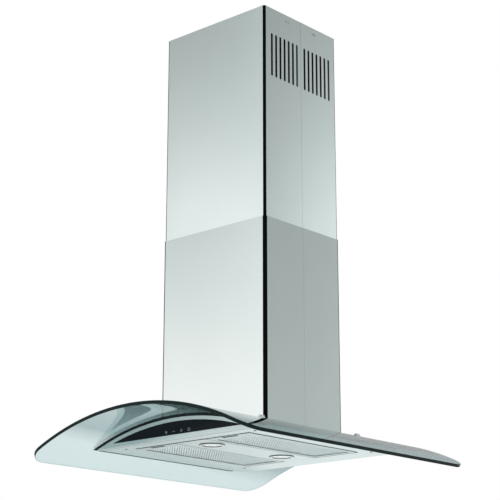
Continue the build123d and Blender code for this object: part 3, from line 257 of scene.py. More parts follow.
def moulded(name, dark, light, roughness, bump=0.00003, metallic=0.0, specular=0.5):
    """Plastic, rubber or cast metal with a fine even grain."""
    mat, look = material(name)
    fine, broad = look.noise((900.0,) * 3), look.noise((24.0,) * 3, 2.0)
    look.feed(look.surface, {
        "Metallic": metallic, "Specular IOR Level": specular, "Base Color": look.blended(broad, dark, light),
        "Roughness": look.uneven(fine, roughness), "Normal": look.bumped(fine, bump)})
    return mat


def speckled(name, grain, dark, light, smooth, rough, specular=0.5):
    """Smooth surface whose colour and roughness follow one noise."""
    mat, look = material(name)
    noise = look.noise((grain,) * 3)
    look.feed(look.surface, {
        "Base Color": look.blended(noise, dark, light), "Roughness": look.spread(noise, smooth, rough),
        "Specular IOR Level": specular})
    return mat, look, noise


# -------- materials
STEEL_DARK, STEEL_LIGHT = (0.625, 0.718, 0.706), (0.655, 0.745, 0.732)
UPRIGHT, ACROSS, ALONG = (1500.0, 1500.0, 9.0), (10.0, 1400.0, 1400.0), (1300.0, 12.0, 1300.0)
BEND_SHARE, BEND_PAINTED_REFLECTION = 0.96, (0.009, 0.012, 0.012, 1)      # share of a bend that is dark, and its tone: a painted dark reflection
steel_upper = brushed("steel_upper_cover", STEEL_DARK, STEEL_LIGHT, 0.20, UPRIGHT, cover=UPPER)
steel_lower = brushed("steel_lower_cover", STEEL_DARK, STEEL_LIGHT, 0.20, UPRIGHT, turn=-4.0, cover=LOWER)
steel_panel = brushed("steel_panel", (0.55, 0.69, 0.69), (0.59, 0.72, 0.72), 0.22, ALONG)
steel_bar = brushed("steel_lamp_bar", (0.53, 0.67, 0.67), (0.57, 0.70, 0.70), 0.22, ALONG)
steel_filter = brushed("filter_aluminium", (0.48, 0.61, 0.615), (0.52, 0.64, 0.645), 0.28, ACROSS)
steel_mesh = brushed("filter_mesh", (0.78, 0.90, 0.90), (0.88, 0.97, 0.97), 0.45, (300.0,) * 3, metallic=0.0)
# painted shade: near-black steel on the edge faces of the panel, lamp tray, lamp rings and filter frames, for
# the shadow gaps along them
steel_edge_painted_shade = brushed("steel_edges_painted_shade", (0.06, 0.075, 0.075), (0.10, 0.115, 0.115), 0.40, ACROSS)
silver = brushed("fascia_silver", (0.44, 0.54, 0.54), (0.50, 0.59, 0.59), 0.30, ACROSS)
bright = brushed("polished_fittings", (0.56, 0.60, 0.61), (0.62, 0.66, 0.67), 0.14, (500.0,) * 3)
galvanised = brushed("galvanised", (0.34, 0.36, 0.37), (0.48, 0.50, 0.51), 0.42, (60.0,) * 3, metallic=0.6,
                     bump=0.00001)
zinc = brushed("zinc_fasteners", (0.46, 0.47, 0.46), (0.58, 0.59, 0.58), 0.28, (400.0,) * 3)
# painted shade: near-black on the covers' inside faces, for the dark of the closed chimney seen through the
# slots
inside = moulded("cover_inside_painted_shade", (0.018, 0.022, 0.023), (0.030, 0.035, 0.036), 0.75)
dark_plastic = moulded("dark_plastic", (0.020, 0.021, 0.023), (0.032, 0.033, 0.036), 0.45)
grey_plastic = moulded("grey_plastic", (0.22, 0.23, 0.24), (0.28, 0.29, 0.30), 0.5)
white_plastic = moulded("white_plastic", (0.72, 0.74, 0.74), (0.80, 0.82, 0.82), 0.42)
latch_plastic = moulded("latch_plastic", (0.055, 0.065, 0.068), (0.080, 0.090, 0.094), 0.42)
rubber = moulded("black_rubber", (0.0035, 0.0060, 0.0075), (0.0075, 0.0105, 0.0120), 0.70, bump=0.00004,
                 specular=0.15)
iron = moulded("stator_iron", (0.12, 0.12, 0.13), (0.20, 0.20, 0.21), 0.42, metallic=1.0)
board = moulded("circuit_board", (0.010, 0.090, 0.040), (0.016, 0.130, 0.060), 0.35)
foil = moulded("capacitor_sleeve", (0.03, 0.05, 0.16), (0.04, 0.07, 0.20), 0.3)
touch_mat = speckled("touch_glass", 500.0, (0.0038, 0.0062, 0.0085), (0.0060, 0.0085, 0.0110), 0.10, 0.16,
                     specular=0.05)[0]
icon_mat = speckled("icon_print", 2500.0, (0.10, 0.14, 0.15), (0.16, 0.20, 0.21), 0.35, 0.5)[0]


def canopy_glass():
    """Faintly sea-green sheet glass, much darker where it is seen at a grazing angle: partly the deeper tint
    of the longer path through it, partly a painted dark reflection. The lamps' light goes straight through
    it.
    """
    mat, look = material("canopy_glass")
    faint = look.noise((3.0,) * 3, 1.0)
    # darker colour at grazing angles: partly the glass's deeper tint, partly a painted dark reflection
    slant_tint_and_reflection = look.ranged(look.add("LayerWeight").outputs["Facing"], 0.60, 0.66)
    colour = look.blended(faint, (0.590, 0.725, 0.732), (0.612, 0.747, 0.750))
    look.feed(look.surface, {
        "Base Color": look.layered(slant_tint_and_reflection, colour, (0.12, 0.22, 0.23, 1)), "Transmission Weight": 1.0,
        "Roughness": look.spread(faint, 0.0, 0.012), "IOR": 1.7})
    look.shown(look.rays("Shadow", "Diffuse"), look.surface.outputs[0], look.clear((0.68, 0.79, 0.80)))
    return mat


def glass_edge_tint_and_reflection():
    """Ground edge of the sheet: deep green where it faces out, darkened near to black past the glass's own
    tint as a painted dark reflection; clear where it is seen from within.
    """
    mat, look = speckled("glass_edge_tint_and_reflection", 160.0, (0.0030, 0.0085, 0.0090), (0.0050, 0.0130, 0.0130), 0.20, 0.34,
                         specular=0.06)[:2]
    look.shown(look.from_behind(), look.surface.outputs[0], look.clear((0.62, 0.74, 0.74)))
    return mat


def lamp_lens():
    """Frosted cover over the light-emitting diodes, with their cells just showing through."""
    mat, look, cells = speckled("lamp_lens", 150.0, (0.36, 0.44, 0.43), (0.86, 0.92, 0.90), 0.14, 0.26)
    look.feed(look.surface, {
        "Normal": look.bumped(cells, 0.00025), "Emission Strength": 0.23,
        "Emission Color": look.blended(cells, (0.40, 0.49, 0.47), (1.0, 1.0, 0.98))})
    return mat


glass_mat, edge_mat, lens_mat = canopy_glass(), glass_edge_tint_and_reflection(), lamp_lens()

FINISHES = {
    steel_panel: ["underside_panel", "canopy_shell"],
    steel_bar: ["lamp_bar"],
    steel_filter: ["filter_frame_left", "filter_frame_right"],
    steel_mesh: ["filter_mesh_left", "filter_mesh_right"],
    silver: ["fascia_frame"],
    bright: ["glass_screws", "glass_washers", "lamp_bezels", "panel_screws", "lamp_bar_rivets", "motor_shaft",
             "motor_bearings", "damper_rod"],
    galvanised: ["upper_posts", "lower_posts", "frame_brace", "ceiling_plate", "mounting_collar",
                 "blower_box", "fan_disc", "fan_rings", "fan_blades", "motor_bracket", "filter_brackets",
                 "lamp_housings", "damper_flap_front", "damper_flap_rear", "motor_case"],
    zinc: ["glass_nuts", "frame_bolts", "frame_nuts", "collar_bolts", "filter_spring_left",
           "filter_spring_right"],
    rubber: ["glass_gasket", "glass_bushes"],
    grey_plastic: ["cable_gland", "scroll_left", "scroll_right"],
    latch_plastic: ["filter_latch_left", "filter_latch_right"],
    dark_plastic: ["outlet_spigot"],
    white_plastic: ["control_box"],
    iron: ["motor_stator", "motor_rotor"],
    board: ["lamp_boards", "touch_board", "control_board"],
    foil: ["capacitor"],
    touch_mat: ["touch_panel"],
    icon_mat: ["touch_icons"],
    lens_mat: ["lamp_lenses"],
    steel_upper: ["upper_cover_front", "upper_cover_rear"],
    steel_lower: ["lower_cover_front", "lower_cover_rear"],
    glass_mat: ["glass_canopy"],
}
for finish, names in FINISHES.items():
    for name in names:
        for place in nodes[name].material_slots:
            place.link = "OBJECT"
            place.material = finish


# -------- pieces: profiled outlines and turned parts
def left_of(outline, distance):
    """Closed outline moved to its left, which is into the material."""
    moved = []
    count = len(outline)
    for i in range(count):
        a, b, c = outline[i - 1], outline[i], outline[(i + 1) % count]
        before, after = (b - a).normalized(), (c - b).normalized()
        n1, n2 = Vector((-before.y, before.x)), Vector((-after.y, after.x))
        moved.append(b + (n1 + n2) * (distance / (1 + n1.dot(n2))))
    return moved


def quarter(steps):
    """Angles over a quarter turn."""
    return [pi / 2 * k / steps for k in range(steps + 1)]


def rim(low, high, radius, steps=3):
    """Edge profile from the lower face to the upper one, rounded at both: pairs of inset and height."""
    lower = [(radius * (1 - sin(t)), low + radius * (1 - cos(t))) for t in quarter(steps)]
    return lower + [(inset, low + high - w) for inset, w in reversed(lower)]


def cut_sheet(cuts, pockets=()):
    """Closed sheet from outlines with their edge profiles. The first outline runs counter-clockwise and the
    openings run clockwise. Pockets are openings that end in a floor of their own."""
    bm = bmesh.new()
    lower, upper, floors = [], [], []
    for index, (outline, profile) in enumerate([*cuts, *pockets]):
        rings = []
        for inset, w in profile:
            points = left_of(outline, inset) if inset else outline
            rings.append([bm.verts.new((p.x, p.y, w)) for p in points])
        count = len(outline)
        for below, above in zip(rings, rings[1:]):
            for i in range(count):
                bm.faces.new((below[i - 1], below[i], above[i], above[i - 1]))
        low, high = ([bm.edges.get((ring[i - 1], ring[i])) for i in range(count)]
                     for ring in (rings[0], rings[-1]))
        lower += low
        if index < len(cuts):
            upper += high
        else:
            floors.append(high)
    for cap in [lower, upper] + floors:
        bmesh.ops.triangle_fill(bm, use_beauty=True, edges=cap)
    bmesh.ops.recalc_face_normals(bm, faces=bm.faces)
    return bm


def cut_across(bm, stations):
    """Adds an edge loop across the sheet at each distance along it, so that it can bend there."""
    for u in stations:
        bmesh.ops.bisect_plane(bm, geom=bm.verts[:] + bm.edges[:] + bm.faces[:], dist=1e-7,
                               plane_co=(u, 0, 0), plane_no=(1, 0, 0))
    return bm


def turned(profile, steps=48):
    """Solid of revolution about Z from pairs of radius and height; a radius of 0 closes it.
    The rings from a negative radius on are hexagons, as in a hexagon socket."""
    bm = bmesh.new()
    rings = []
    hexagonal = False
    for radius, height in profile:
        hexagonal = hexagonal or radius < 0
        radius = abs(radius)
        if radius == 0:
            rings.append([bm.verts.new((0, 0, height))] * steps)
            continue
        ring = []
        for k in range(steps):
            a = 2 * pi * k / steps
            reach = radius * cos(pi / 6) / cos((a % (pi / 3)) - pi / 6) if hexagonal else radius
            ring.append(bm.verts.new((reach * cos(a), reach * sin(a), height)))
        rings.append(ring)
    if profile[0][0] and profile[-1][0]:
        rings.append(rings[0])
    for below, above in zip(rings, rings[1:]):
        for i in range(steps):
            corners = [below[i - 1], below[i], above[i], above[i - 1]]
            bm.faces.new([v for k, v in enumerate(corners) if v is not corners[k - 1]])
    bmesh.ops.recalc_face_normals(bm, faces=bm.faces)
    return bm


def carved(bm, others, operation="DIFFERENCE"):
    """The solid with the others cut out of it, or joined to it."""
    def loose(part):
        mesh = bpy.data.meshes.new("blank")
        part.to_mesh(mesh)
        part.free()
        obj = bpy.data.objects.new("blank", mesh)
        bpy.context.scene.collection.objects.link(obj)
        return obj

    blank, tools = loose(bm), [loose(other) for other in others]
    for tool in tools:
        boolean = blank.modifiers.new("carve", "BOOLEAN")
        boolean.operation = operation
        boolean.solver = "EXACT"
        boolean.object = tool
    result = bmesh.new()
    result.from_object(blank, bpy.context.evaluated_depsgraph_get())
    for obj in [blank] + tools:
        mesh = obj.data
        bpy.data.objects.remove(obj)
        bpy.data.meshes.remove(mesh)
    return result


def corner_normals(bm):
    """Normal of every face corner: level faces stay flat, and rounded edges run smoothly into them."""
    bm.normal_update()
    level = {face for face in bm.faces if abs(face.normal.z) > 0.9995}
    normals = []
    for face in bm.faces:
        for loop in face.loops:
            near = [f for f in loop.vert.link_faces if f.normal.dot(face.normal) > 0.75]
            if face in level or any(f in level for f in near):
                normals.append(Vector((0, 0, 1 if face.normal.z > 0 else -1)))
            else:
                normals.append(sum((f.normal for f in near), Vector()).normalized())
    return normals, level


def placed(matrix):
    """Puts a part in place as it is."""
    turn = matrix.to_3x3()
    return lambda co: (matrix @ co, turn)


def bent(path):
    """Bends a part along a path that gives its origin and its three directions at each distance."""
    def place(co):
        origin, along, sideways, outward = path(co.x)
        return origin + sideways * co.y + outward * co.z, Matrix((along, sideways, outward)).transposed()

    return place


def piece(name, parts, finishes, node, body="frame"):
    """One object from several parts. Each part is a mesh, how it is placed and its finishes by number:
    upper faces, lower faces, edges."""
    verts, faces, normals, numbers = [], [], [], []
    for bm, place, (over, under, edge) in parts:
        local, level = corner_normals(bm)
        bm.verts.index_update()
        first, frames = len(verts), []
        for vert in bm.verts:
            point, turn = place(vert.co)
            verts.append(point)
            frames.append(turn)
        at = 0
        for face in bm.faces:
            faces.append([first + v.index for v in face.verts])
            numbers.append(edge if face not in level else over if face.normal.z > 0 else under)
            for loop in face.loops:
                normals.append((frames[loop.vert.index] @ local[at]).normalized())
                at += 1
        bm.free()
    mesh = bpy.data.meshes.new(name)
    mesh.from_pydata(verts, [], faces)
    for finish in finishes:
        mesh.materials.append(finish)
    mesh.polygons.foreach_set("material_index", numbers)
    mesh.polygons.foreach_set("use_smooth", [True] * len(faces))
    mesh.normals_split_custom_set(normals)
    obj = bpy.data.objects.new(name, mesh)
    bpy.context.scene.collection.objects.link(obj)
    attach(obj, body)
    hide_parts(node)


PLAIN, EDGED, LINED = (0, 0, 0), (0, 0, 1), (0, 1, 0)      # one finish; edges or lower faces in a second one


def arc(x, y, radius, start, sweep, steps):
    """Points along an arc about x, y; its angles are in degrees."""
    angles = [radians(start + sweep * k / steps) for k in range(steps + 1)]
    return [Vector((x + radius * cos(a), y + radius * sin(a))) for a in angles]


def circle(x, y, radius, steps=32):
    return arc(x, y, radius, 0, 360, steps)[:-1]


def rounded_rectangle(x0, x1, y0, y1, radius, steps=12):
    """Counter-clockwise outline."""
    left, right, front, rear = x0 + radius, x1 - radius, y0 + radius, y1 - radius
    turns = ((right, front, -90), (right, rear, 0), (left, rear, 90), (left, front, 180))
    return [point for x, y, start in turns for point in arc(x, y, radius, start, 90, steps)]


def bar(x0, x1, y0, y1, low, high, radius):
    """Rounded bar between two corners."""
    return cut_sheet([(rounded_rectangle(x0, x1, y0, y1, radius, 4), rim(low, high, radius))])


# -------- glass, gasket and glass fixings
def arch_directions(a):
    """Directions along, beside and out of the arch at an angle from its crown."""
    return Vector((cos(a), 0, -sin(a))), Vector((0, 1, 0)), Vector((sin(a), 0, cos(a)))


def glass_path(u):
    """Path across the hood over the glass."""
    directions = arch_directions(u / GLASS_RADIUS)
    return Vector((0, 0, AXIS_Z)) + directions[2] * GLASS_RADIUS, *directions


def bends(half, pitch):
    return [pitch * k for k in range(-int(half / pitch), int(half / pitch) + 1)]


half, cutout_half, hole_x = (GLASS_RADIUS * asin(x / GLASS_RADIUS)
                             for x in (GLASS_WIDTH / 2, CUTOUT_WIDTH / 2, GLASS_SCREW_X))
corners = [(sx, sy) for sx in (-1, 1) for sy in (-1, 1)]
openings = [rounded_rectangle(-cutout_half, cutout_half, -CUTOUT_DEPTH / 2, CUTOUT_DEPTH / 2, CUTOUT_CORNER)]
openings += [circle(sx * hole_x, sy * GLASS_SCREW_Y, GLASS_HOLE) for sx, sy in corners]
ground = rim(-GLASS_THICK, 0.0, GLASS_BEVEL)
outside = rounded_rectangle(-half, half, -GLASS_DEPTH / 2, GLASS_DEPTH / 2, GLASS_CORNER, 16)
sheet = cut_sheet([(outside, ground)] + [(opening[::-1], ground) for opening in openings])
piece("glass_sheet", [(cut_across(sheet, bends(half, SHEET_PITCH)), bent(glass_path), EDGED)],
      [glass_mat, edge_mat], "glass_canopy")


def gasket_place(co):
    """Bends the strip under the glass, with its tips cut level with the body's panel."""
    a = co.x / GASKET_OUTSIDE
    directions = arch_directions(a)
    reach = max(GASKET_OUTSIDE + co.z, (GASKET_FLOOR - AXIS_Z) / cos(a))
    return Vector((0, co.y, AXIS_Z)) + directions[2] * reach, Matrix(directions).transposed()


strips = []
front_half = GASKET_OUTSIDE * acos((GASKET_FLOOR - AXIS_Z) / GASKET_OUTSIDE) - FRONT_TRIM
rear_half = GASKET_OUTSIDE * asin(GASKET_REAR_HALF / GASKET_OUTSIDE) - REAR_TRIM
for y, long_half in ((GASKET_FRONT, front_half), (GASKET_REAR, rear_half)):
    strip = bar(-long_half, long_half, y, y + GASKET_DEPTH, -GASKET_THICK, 0.0, GASKET_ROUND)
    strips.append((cut_across(strip, bends(long_half, STRIP_PITCH)), gasket_place, PLAIN))
piece("gasket_strips", strips, [rubber], "glass_gasket")

# profiles of radius and height over the seat of each part
screw_profile = [(0, -SHANK_LENGTH), (SHANK_RADIUS - SCREW_EDGE, -SHANK_LENGTH),
                 (SHANK_RADIUS, SHANK_TIP - SHANK_LENGTH), (SHANK_RADIUS, 0), (HEAD_RADIUS - SCREW_EDGE, 0),
                 (HEAD_RADIUS, SCREW_EDGE)]
screw_profile += [(HEAD_RADIUS - HEAD_ROUND * (1 - cos(t)), HEAD_HEIGHT - HEAD_ROUND * (1 - sin(t)))
                  for t in quarter(6)]
screw_profile += [(SOCKET_MOUTH, HEAD_HEIGHT), (-SOCKET_RADIUS, HEAD_HEIGHT - FINE),
                  (-SOCKET_RADIUS, SOCKET_FLOOR), (0, SOCKET_FLOOR)]
washer_profile = [(WASHER_BORE, 0), (WASHER_RADIUS - FINE, 0), (WASHER_RADIUS, FINE),
                  (WASHER_RADIUS, WASHER_THICK - WASHER_EDGE), (WASHER_RADIUS - WASHER_EDGE, WASHER_THICK),
                  (WASHER_MOUTH, WASHER_THICK), (WASHER_BORE, WASHER_THICK - SOFT)]
for name, profile, seat, steps, node in (
        ("glass_screw_heads", screw_profile, WASHER_SEAT + WASHER_THICK, 36, "glass_screws"),
        ("glass_screw_washers", washer_profile, WASHER_SEAT, 40, "glass_washers")):
    parts = []
    for sx, sy in corners:
        tilt = Matrix.Rotation(asin(sx * GLASS_SCREW_X / GLASS_RADIUS), 4, "Y")
        at = Matrix.Translation((0, sy * GLASS_SCREW_Y, AXIS_Z)) @ tilt
        solid = turned([(radius, seat + height) for radius, height in profile], steps)
        parts.append((solid, placed(at), PLAIN))
    piece(name, parts, [bright], node)


# -------- fascia, touch strip and symbols
def facing(y):
    """Places a part drawn in front view, with its upper face towards the front."""
    return placed(Matrix(((1, 0, 0, 0), (0, 0, -1, y), (0, 1, 0, 0), (0, 0, 0, 1))))


def arch_segment(radius, floor):
    """Counter-clockwise outline of the part of a disc above a level, in front view."""
    reach = degrees(acos((floor - AXIS_Z) / radius))
    return arc(0, AXIS_Z, radius, 90 - reach, 2 * reach, 96)


sill = UNDER + FASCIA_SILL
front = cut_sheet([(arch_segment(FASCIA_RADIUS, UNDER), rim(0, FASCIA_DEPTH, FASCIA_ROUND)),
                   (arch_segment(WINDOW_RADIUS, sill)[::-1], rim(0, FASCIA_DEPTH, WINDOW_ROUND))])
piece("fascia", [(front, facing(FASCIA_FRONT + FASCIA_DEPTH), PLAIN)], [silver], "fascia_frame")
touch = cut_sheet([(arch_segment(TOUCH_RADIUS, sill + GAP), rim(0, TOUCH_THICK, SOFT))])
piece("touch_strip", [(touch, facing(TOUCH_FRONT + TOUCH_THICK), PLAIN)], [touch_mat], "touch_panel")


def rectangle(x, width, y, height):
    """Counter-clockwise outline about x, y."""
    return [Vector((x + sx * width / 2, y + sy * height / 2))
            for sx, sy in ((-1, -1), (1, -1), (1, 1), (-1, 1))]


def broken_ring(x, y, outer, inner, gap, steps=28):
    """Counter-clockwise outline of a ring that is open at the top."""
    wide, narrow = (degrees(asin(gap / 2 / radius)) for radius in (inner, outer))
    return (arc(x, y, outer, 90 + narrow, 360 - 2 * narrow, steps)
            + arc(x, y, inner, 90 + wide, 360 - 2 * wide, steps)[::-1])


lamp_x, minus_x, plus_x, power_x = ICON_CENTRES
marks = [circle(lamp_x, ICON_HEIGHT, ICON_SIZE / 4, 20)]
for k in range(RAY_COUNT):
    turn = Matrix.Rotation(2 * pi * k / RAY_COUNT, 2)
    ray = rectangle(0, ICON_LINE, (ICON_SIZE - RAY_LENGTH) / 2, RAY_LENGTH)
    marks.append([Vector((lamp_x, ICON_HEIGHT)) + turn @ p for p in ray])
marks += [rectangle(x, ICON_SIZE, ICON_HEIGHT, ICON_LINE) for x in (minus_x, plus_x)]
arm_middle, arm_length = (ICON_SIZE + ICON_LINE) / 4, (ICON_SIZE - ICON_LINE) / 2
marks += [rectangle(plus_x, ICON_LINE, ICON_HEIGHT + sy * arm_middle, arm_length) for sy in (-1, 1)]
marks += [broken_ring(power_x, ICON_HEIGHT, ICON_SIZE / 2, ICON_SIZE / 2 - ICON_LINE, 3 * ICON_LINE),
          rectangle(power_x, ICON_LINE, ICON_HEIGHT + ICON_SIZE / 4, ICON_SIZE / 2)]
symbols = [(cut_sheet([(mark, [(0, 0), (0, ICON_THICK)])]), facing(ICON_FACE + ICON_THICK), PLAIN)
           for mark in marks]
piece("symbols", symbols, [icon_mat], "touch_icons")

# -------- underside panel, its screws, the lamp bar
at_under = placed(Matrix.Translation((0, 0, UNDER)))
rear_y = BODY_REAR - BODY_CORNER
plan = [Vector((-BODY_HALF, PANEL_FRONT)), Vector((BODY_HALF, PANEL_FRONT))]
for sign, start in ((1, 0), (-1, 90)):
    plan += arc(sign * (BODY_HALF - BODY_CORNER), rear_y, BODY_CORNER, start, 90, 20)
# edge profiles of inset and height: the panel's lip, the cavity's wall and the hole for a screw
hem = [(LIP_WIDTH + FINE, PANEL_FACE), (LIP_WIDTH, PANEL_FACE), (LIP_WIDTH - TINY, TINY),
       (LIP_WIDTH - SOFT, 0), (SOFT, 0), (0, SOFT), (0, PANEL_SHEET - FINE), (FINE, PANEL_SHEET)]
folded = [(SOFT + TINY, PANEL_FACE), (TINY, PANEL_FACE + TINY), (0, PANEL_SHEET), (0, CAVITY_WALL - SOFT),
          (SOFT, CAVITY_WALL), (PANEL_SHEET - SOFT, CAVITY_WALL), (PANEL_SHEET, CAVITY_WALL - SOFT),
          (PANEL_SHEET, PANEL_SHEET)]
countersink = [(-0.0014, PANEL_FACE), (-0.0019, PANEL_SHEET)]
panel = cut_sheet([(plan, hem), (rounded_rectangle(*CAVITY)[::-1], folded)]
                  + [(circle(x, y, PANEL_HEAD)[::-1], countersink) for x, y in PANEL_SCREWS])
for vert in panel.verts:
    if vert.co.z < PANEL_FACE and vert.co.y > LIP_END:
        vert.co.z = PANEL_FACE
piece("underside", [(panel, at_under, EDGED)], [steel_panel, steel_edge_painted_shade], "underside_panel")

arm = ((-CROSS_HALF, -CROSS_REACH), (CROSS_HALF, -CROSS_REACH), (CROSS_HALF, -CROSS_HALF))
cross = [Matrix.Rotation(pi / 2 * k, 2) @ Vector(point) for k in range(4) for point in arm]
countersunk = [(TINY, 0), (0, TINY), (0.0018, PANEL_SHEET), (0.0019, PANEL_SCREW_TOP - 0.0004),
               (0.0023, PANEL_SCREW_TOP)]
screws = []
for x, y in PANEL_SCREWS:
    screw = cut_sheet([(circle(0, 0, PANEL_HEAD), countersunk)],
                      [(cross[::-1], [(0, 0), (0, CROSS_DEPTH)])])
    screws.append((screw, placed(Matrix.Translation((x, y, UNDER))), PLAIN))
piece("panel_screw_heads", screws, [bright], "panel_screws")

tray = [(BAR_SHEET * (1 - sin(t)), BAR_SHEET * (1 - cos(t))) for t in quarter(4)]
tray += [(0, BAR_FLANGE - FINE), (FINE, BAR_FLANGE), (BAR_SHEET - FINE, BAR_FLANGE),
         (BAR_SHEET, BAR_FLANGE - FINE), (BAR_SHEET, BAR_SHEET)]
lamp_tray = cut_sheet([(rounded_rectangle(-BAR_HALF, BAR_HALF, BAR_FRONT, BAR_REAR, BAR_CORNER, 4), tray)]
                      + [(circle(0, y, LAMP_HOLE, 64)[::-1], rim(0, BAR_SHEET, FINE)) for y in LAMPS_Y])
piece("lamp_tray", [(lamp_tray, at_under, EDGED)], [steel_bar, steel_edge_painted_shade], "lamp_bar")

bezel = [(RING_INSIDE, 0), (RING_INSIDE, RING_EDGE - RING_DROP), (RING_INSIDE + RING_EDGE, -RING_DROP)]
bezel += [(RING_OUTSIDE - RING_ROUND * (1 - sin(t)), RING_ROUND * (1 - cos(t)) - RING_DROP)
          for t in quarter(5)]
bezel += [(RING_OUTSIDE, 0), (SLEEVE_OUTSIDE, 0), (SLEEVE_OUTSIDE, SLEEVE_TOP - FINE),
          (SLEEVE_OUTSIDE - FINE, SLEEVE_TOP), (SLEEVE_INSIDE + FINE, SLEEVE_TOP),
          (SLEEVE_INSIDE, SLEEVE_TOP - FINE), (SLEEVE_INSIDE, 0)]
lens = [(0, -LENS_CROWN), (CROWN_MIDDLE, -LENS_CROWN / 2), (CROWN_END, 0), (LENS_RADIUS - LENS_EDGE, 0),
        (LENS_RADIUS, FINE), (LENS_RADIUS, LENS_THICK - FINE), (LENS_RADIUS - LENS_EDGE, LENS_THICK),
        (0, LENS_THICK)]
for name, profile, finishes, node, slot in (
        ("lamp_rings", bezel, [bright, steel_edge_painted_shade], "lamp_bezels", "polished_steel"),
        ("lamp_glasses", lens, [lens_mat, lens_mat], "lamp_lenses", "frosted_lens")):
    parts = [(turned(profile, 72), placed(Matrix.Translation((0, y, UNDER))), EDGED) for y in LAMPS_Y]
    piece(name, parts, finishes, node)


# -------- grease filters
def expanded_mesh(front_y, rear_y, low):
    """One layer of slit and stretched sheet: zigzag strands that meet at their peaks."""
    bm = bmesh.new()
    count, rows = int(2 * MESH_REACH / STRAND), int((rear_y - front_y) / STRAND)
    step, pitch = 2 * MESH_REACH / count, (rear_y - front_y) / rows
    wide = STRAND_WIDE / 2
    section = ((-wide, 0), (wide, STRAND_TWIST), (wide, STRAND_TALL), (-wide, STRAND_TALL - STRAND_TWIST))
    for row in range(rows):
        middle = front_y + pitch * (row + 0.5)
        rings = []
        for k in range(count + 1):
            peak = (1 if (k + row) % 2 else -1) * (pitch / 2 - wide)
            x = -MESH_REACH + step * k
            rings.append([bm.verts.new((x, middle + peak + dy, low + dz)) for dy, dz in section])
        for a, b in zip(rings, rings[1:]):
            for i in range(4):
                bm.faces.new((a[i - 1], a[i], b[i], b[i - 1]))
        bm.faces.new(rings[0])
        bm.faces.new(rings[-1][::-1])
    bmesh.ops.recalc_face_normals(bm, faces=bm.faces)
    return bm


def filter_solid():
    """Frame with its window, ledge, finger slot, latch channel and spring hole, about its centre line."""
    outside = rounded_rectangle(-FILTER_HALF, FILTER_HALF, FILTER_FRONT, FILTER_REAR, FILTER_CORNER, 8)
    window = rounded_rectangle(-WINDOW_HALF, WINDOW_HALF, WINDOW_FRONT, WINDOW_REAR, FILTER_CORNER, 6)
    ledge = [(SOFT, 0), (0, SOFT), (0, LEDGE_THICK - FINE), (FINE, LEDGE_THICK), (LEDGE, LEDGE_THICK),
             (LEDGE, FILTER_THICK - WINDOW_EDGE), (LEDGE + WINDOW_EDGE, FILTER_THICK)]
    pocket = rounded_rectangle(-POCKET_HALF, POCKET_HALF, POCKET_FRONT, POCKET_REAR, POCKET_CORNER, 3)
    rails = cut_sheet([(outside, rim(0, FILTER_THICK, FILTER_ROUND, 4)), (window[::-1], ledge)],
                      [(pocket[::-1], [(POCKET_EDGE, 0), (0, POCKET_EDGE), (0, POCKET_TOP)])])
    channel = bar(-CHANNEL_HALF, CHANNEL_HALF, FILTER_FRONT - OVERRUN, POCKET_FRONT + OVERRUN,
                  CHANNEL_LOW, CHANNEL_TOP, FINE)
    bore = [(0, POCKET_FRONT), (SPRING_HOLE, POCKET_FRONT), (SPRING_HOLE, SPRING_END), (0, SPRING_END)]
    hole = turned(bore, 24)
    hole.transform(Matrix.Translation((0, 0, SPRING_Z)) @ Matrix.Rotation(-pi / 2, 4, "X"))
    return carved(rails, [channel, hole])


def hinge_parts(at):
    """Lugs and trunnions behind the frame."""
    barrel = [(0, -TRUNNION_HALF), (TRUNNION - FINE, -TRUNNION_HALF), (TRUNNION, -TRUNNION_HALF + FINE),
              (TRUNNION, -LUG_HALF), (LUG_RADIUS, -LUG_HALF)]
    barrel += [(radius, -height) for radius, height in reversed(barrel)]
    parts = []
    for x in (-HINGE_HALF, HINGE_HALF):
        lug = bar(x - LUG_HALF, x + LUG_HALF, FILTER_REAR - LUG_SINK, HINGE_Y, HINGE_Z - LUG_RADIUS,
                  HINGE_Z + LUG_RADIUS, FINE)
        pin = turned(barrel, 32)
        pin.transform(Matrix.Translation((x, HINGE_Y, HINGE_Z)) @ Matrix.Rotation(pi / 2, 4, "Y"))
        parts += [(lug, at, PLAIN), (pin, at, PLAIN)]
    return parts


for name, side in (("left", -1), ("right", 1)):
    at = placed(Matrix.Translation((side * FILTER_X, 0, UNDER)))
    rails = [(filter_solid(), at, EDGED)] + hinge_parts(at)
    start, end = WINDOW_FRONT - LEDGE + MESH_END, WINDOW_REAR + LEDGE - MESH_END
    layers = [(expanded_mesh(start + MESH_SHIFT * n, end, low), at, PLAIN)
              for n, low in enumerate(MESH_LAYERS)]
    latch = [(carved(bar(*TONGUE), [bar(*FINGER_PLATE)], "UNION"), at, PLAIN)]
    for parts, finishes, made, node, slot, body in (
            (rails, [steel_filter, steel_edge_painted_shade], "filter_rails", "filter_frame", "filter_aluminium", "filter"),
            (layers, [steel_mesh], "filter_strands", "filter_mesh", "mesh_aluminium", "filter"),
            (latch, [latch_plastic], "latch_slider", "filter_latch", "latch_plastic", "latch")):
        piece(f"{made}_{name}", parts, finishes, f"{node}_{name}", f"{body}_{name}")


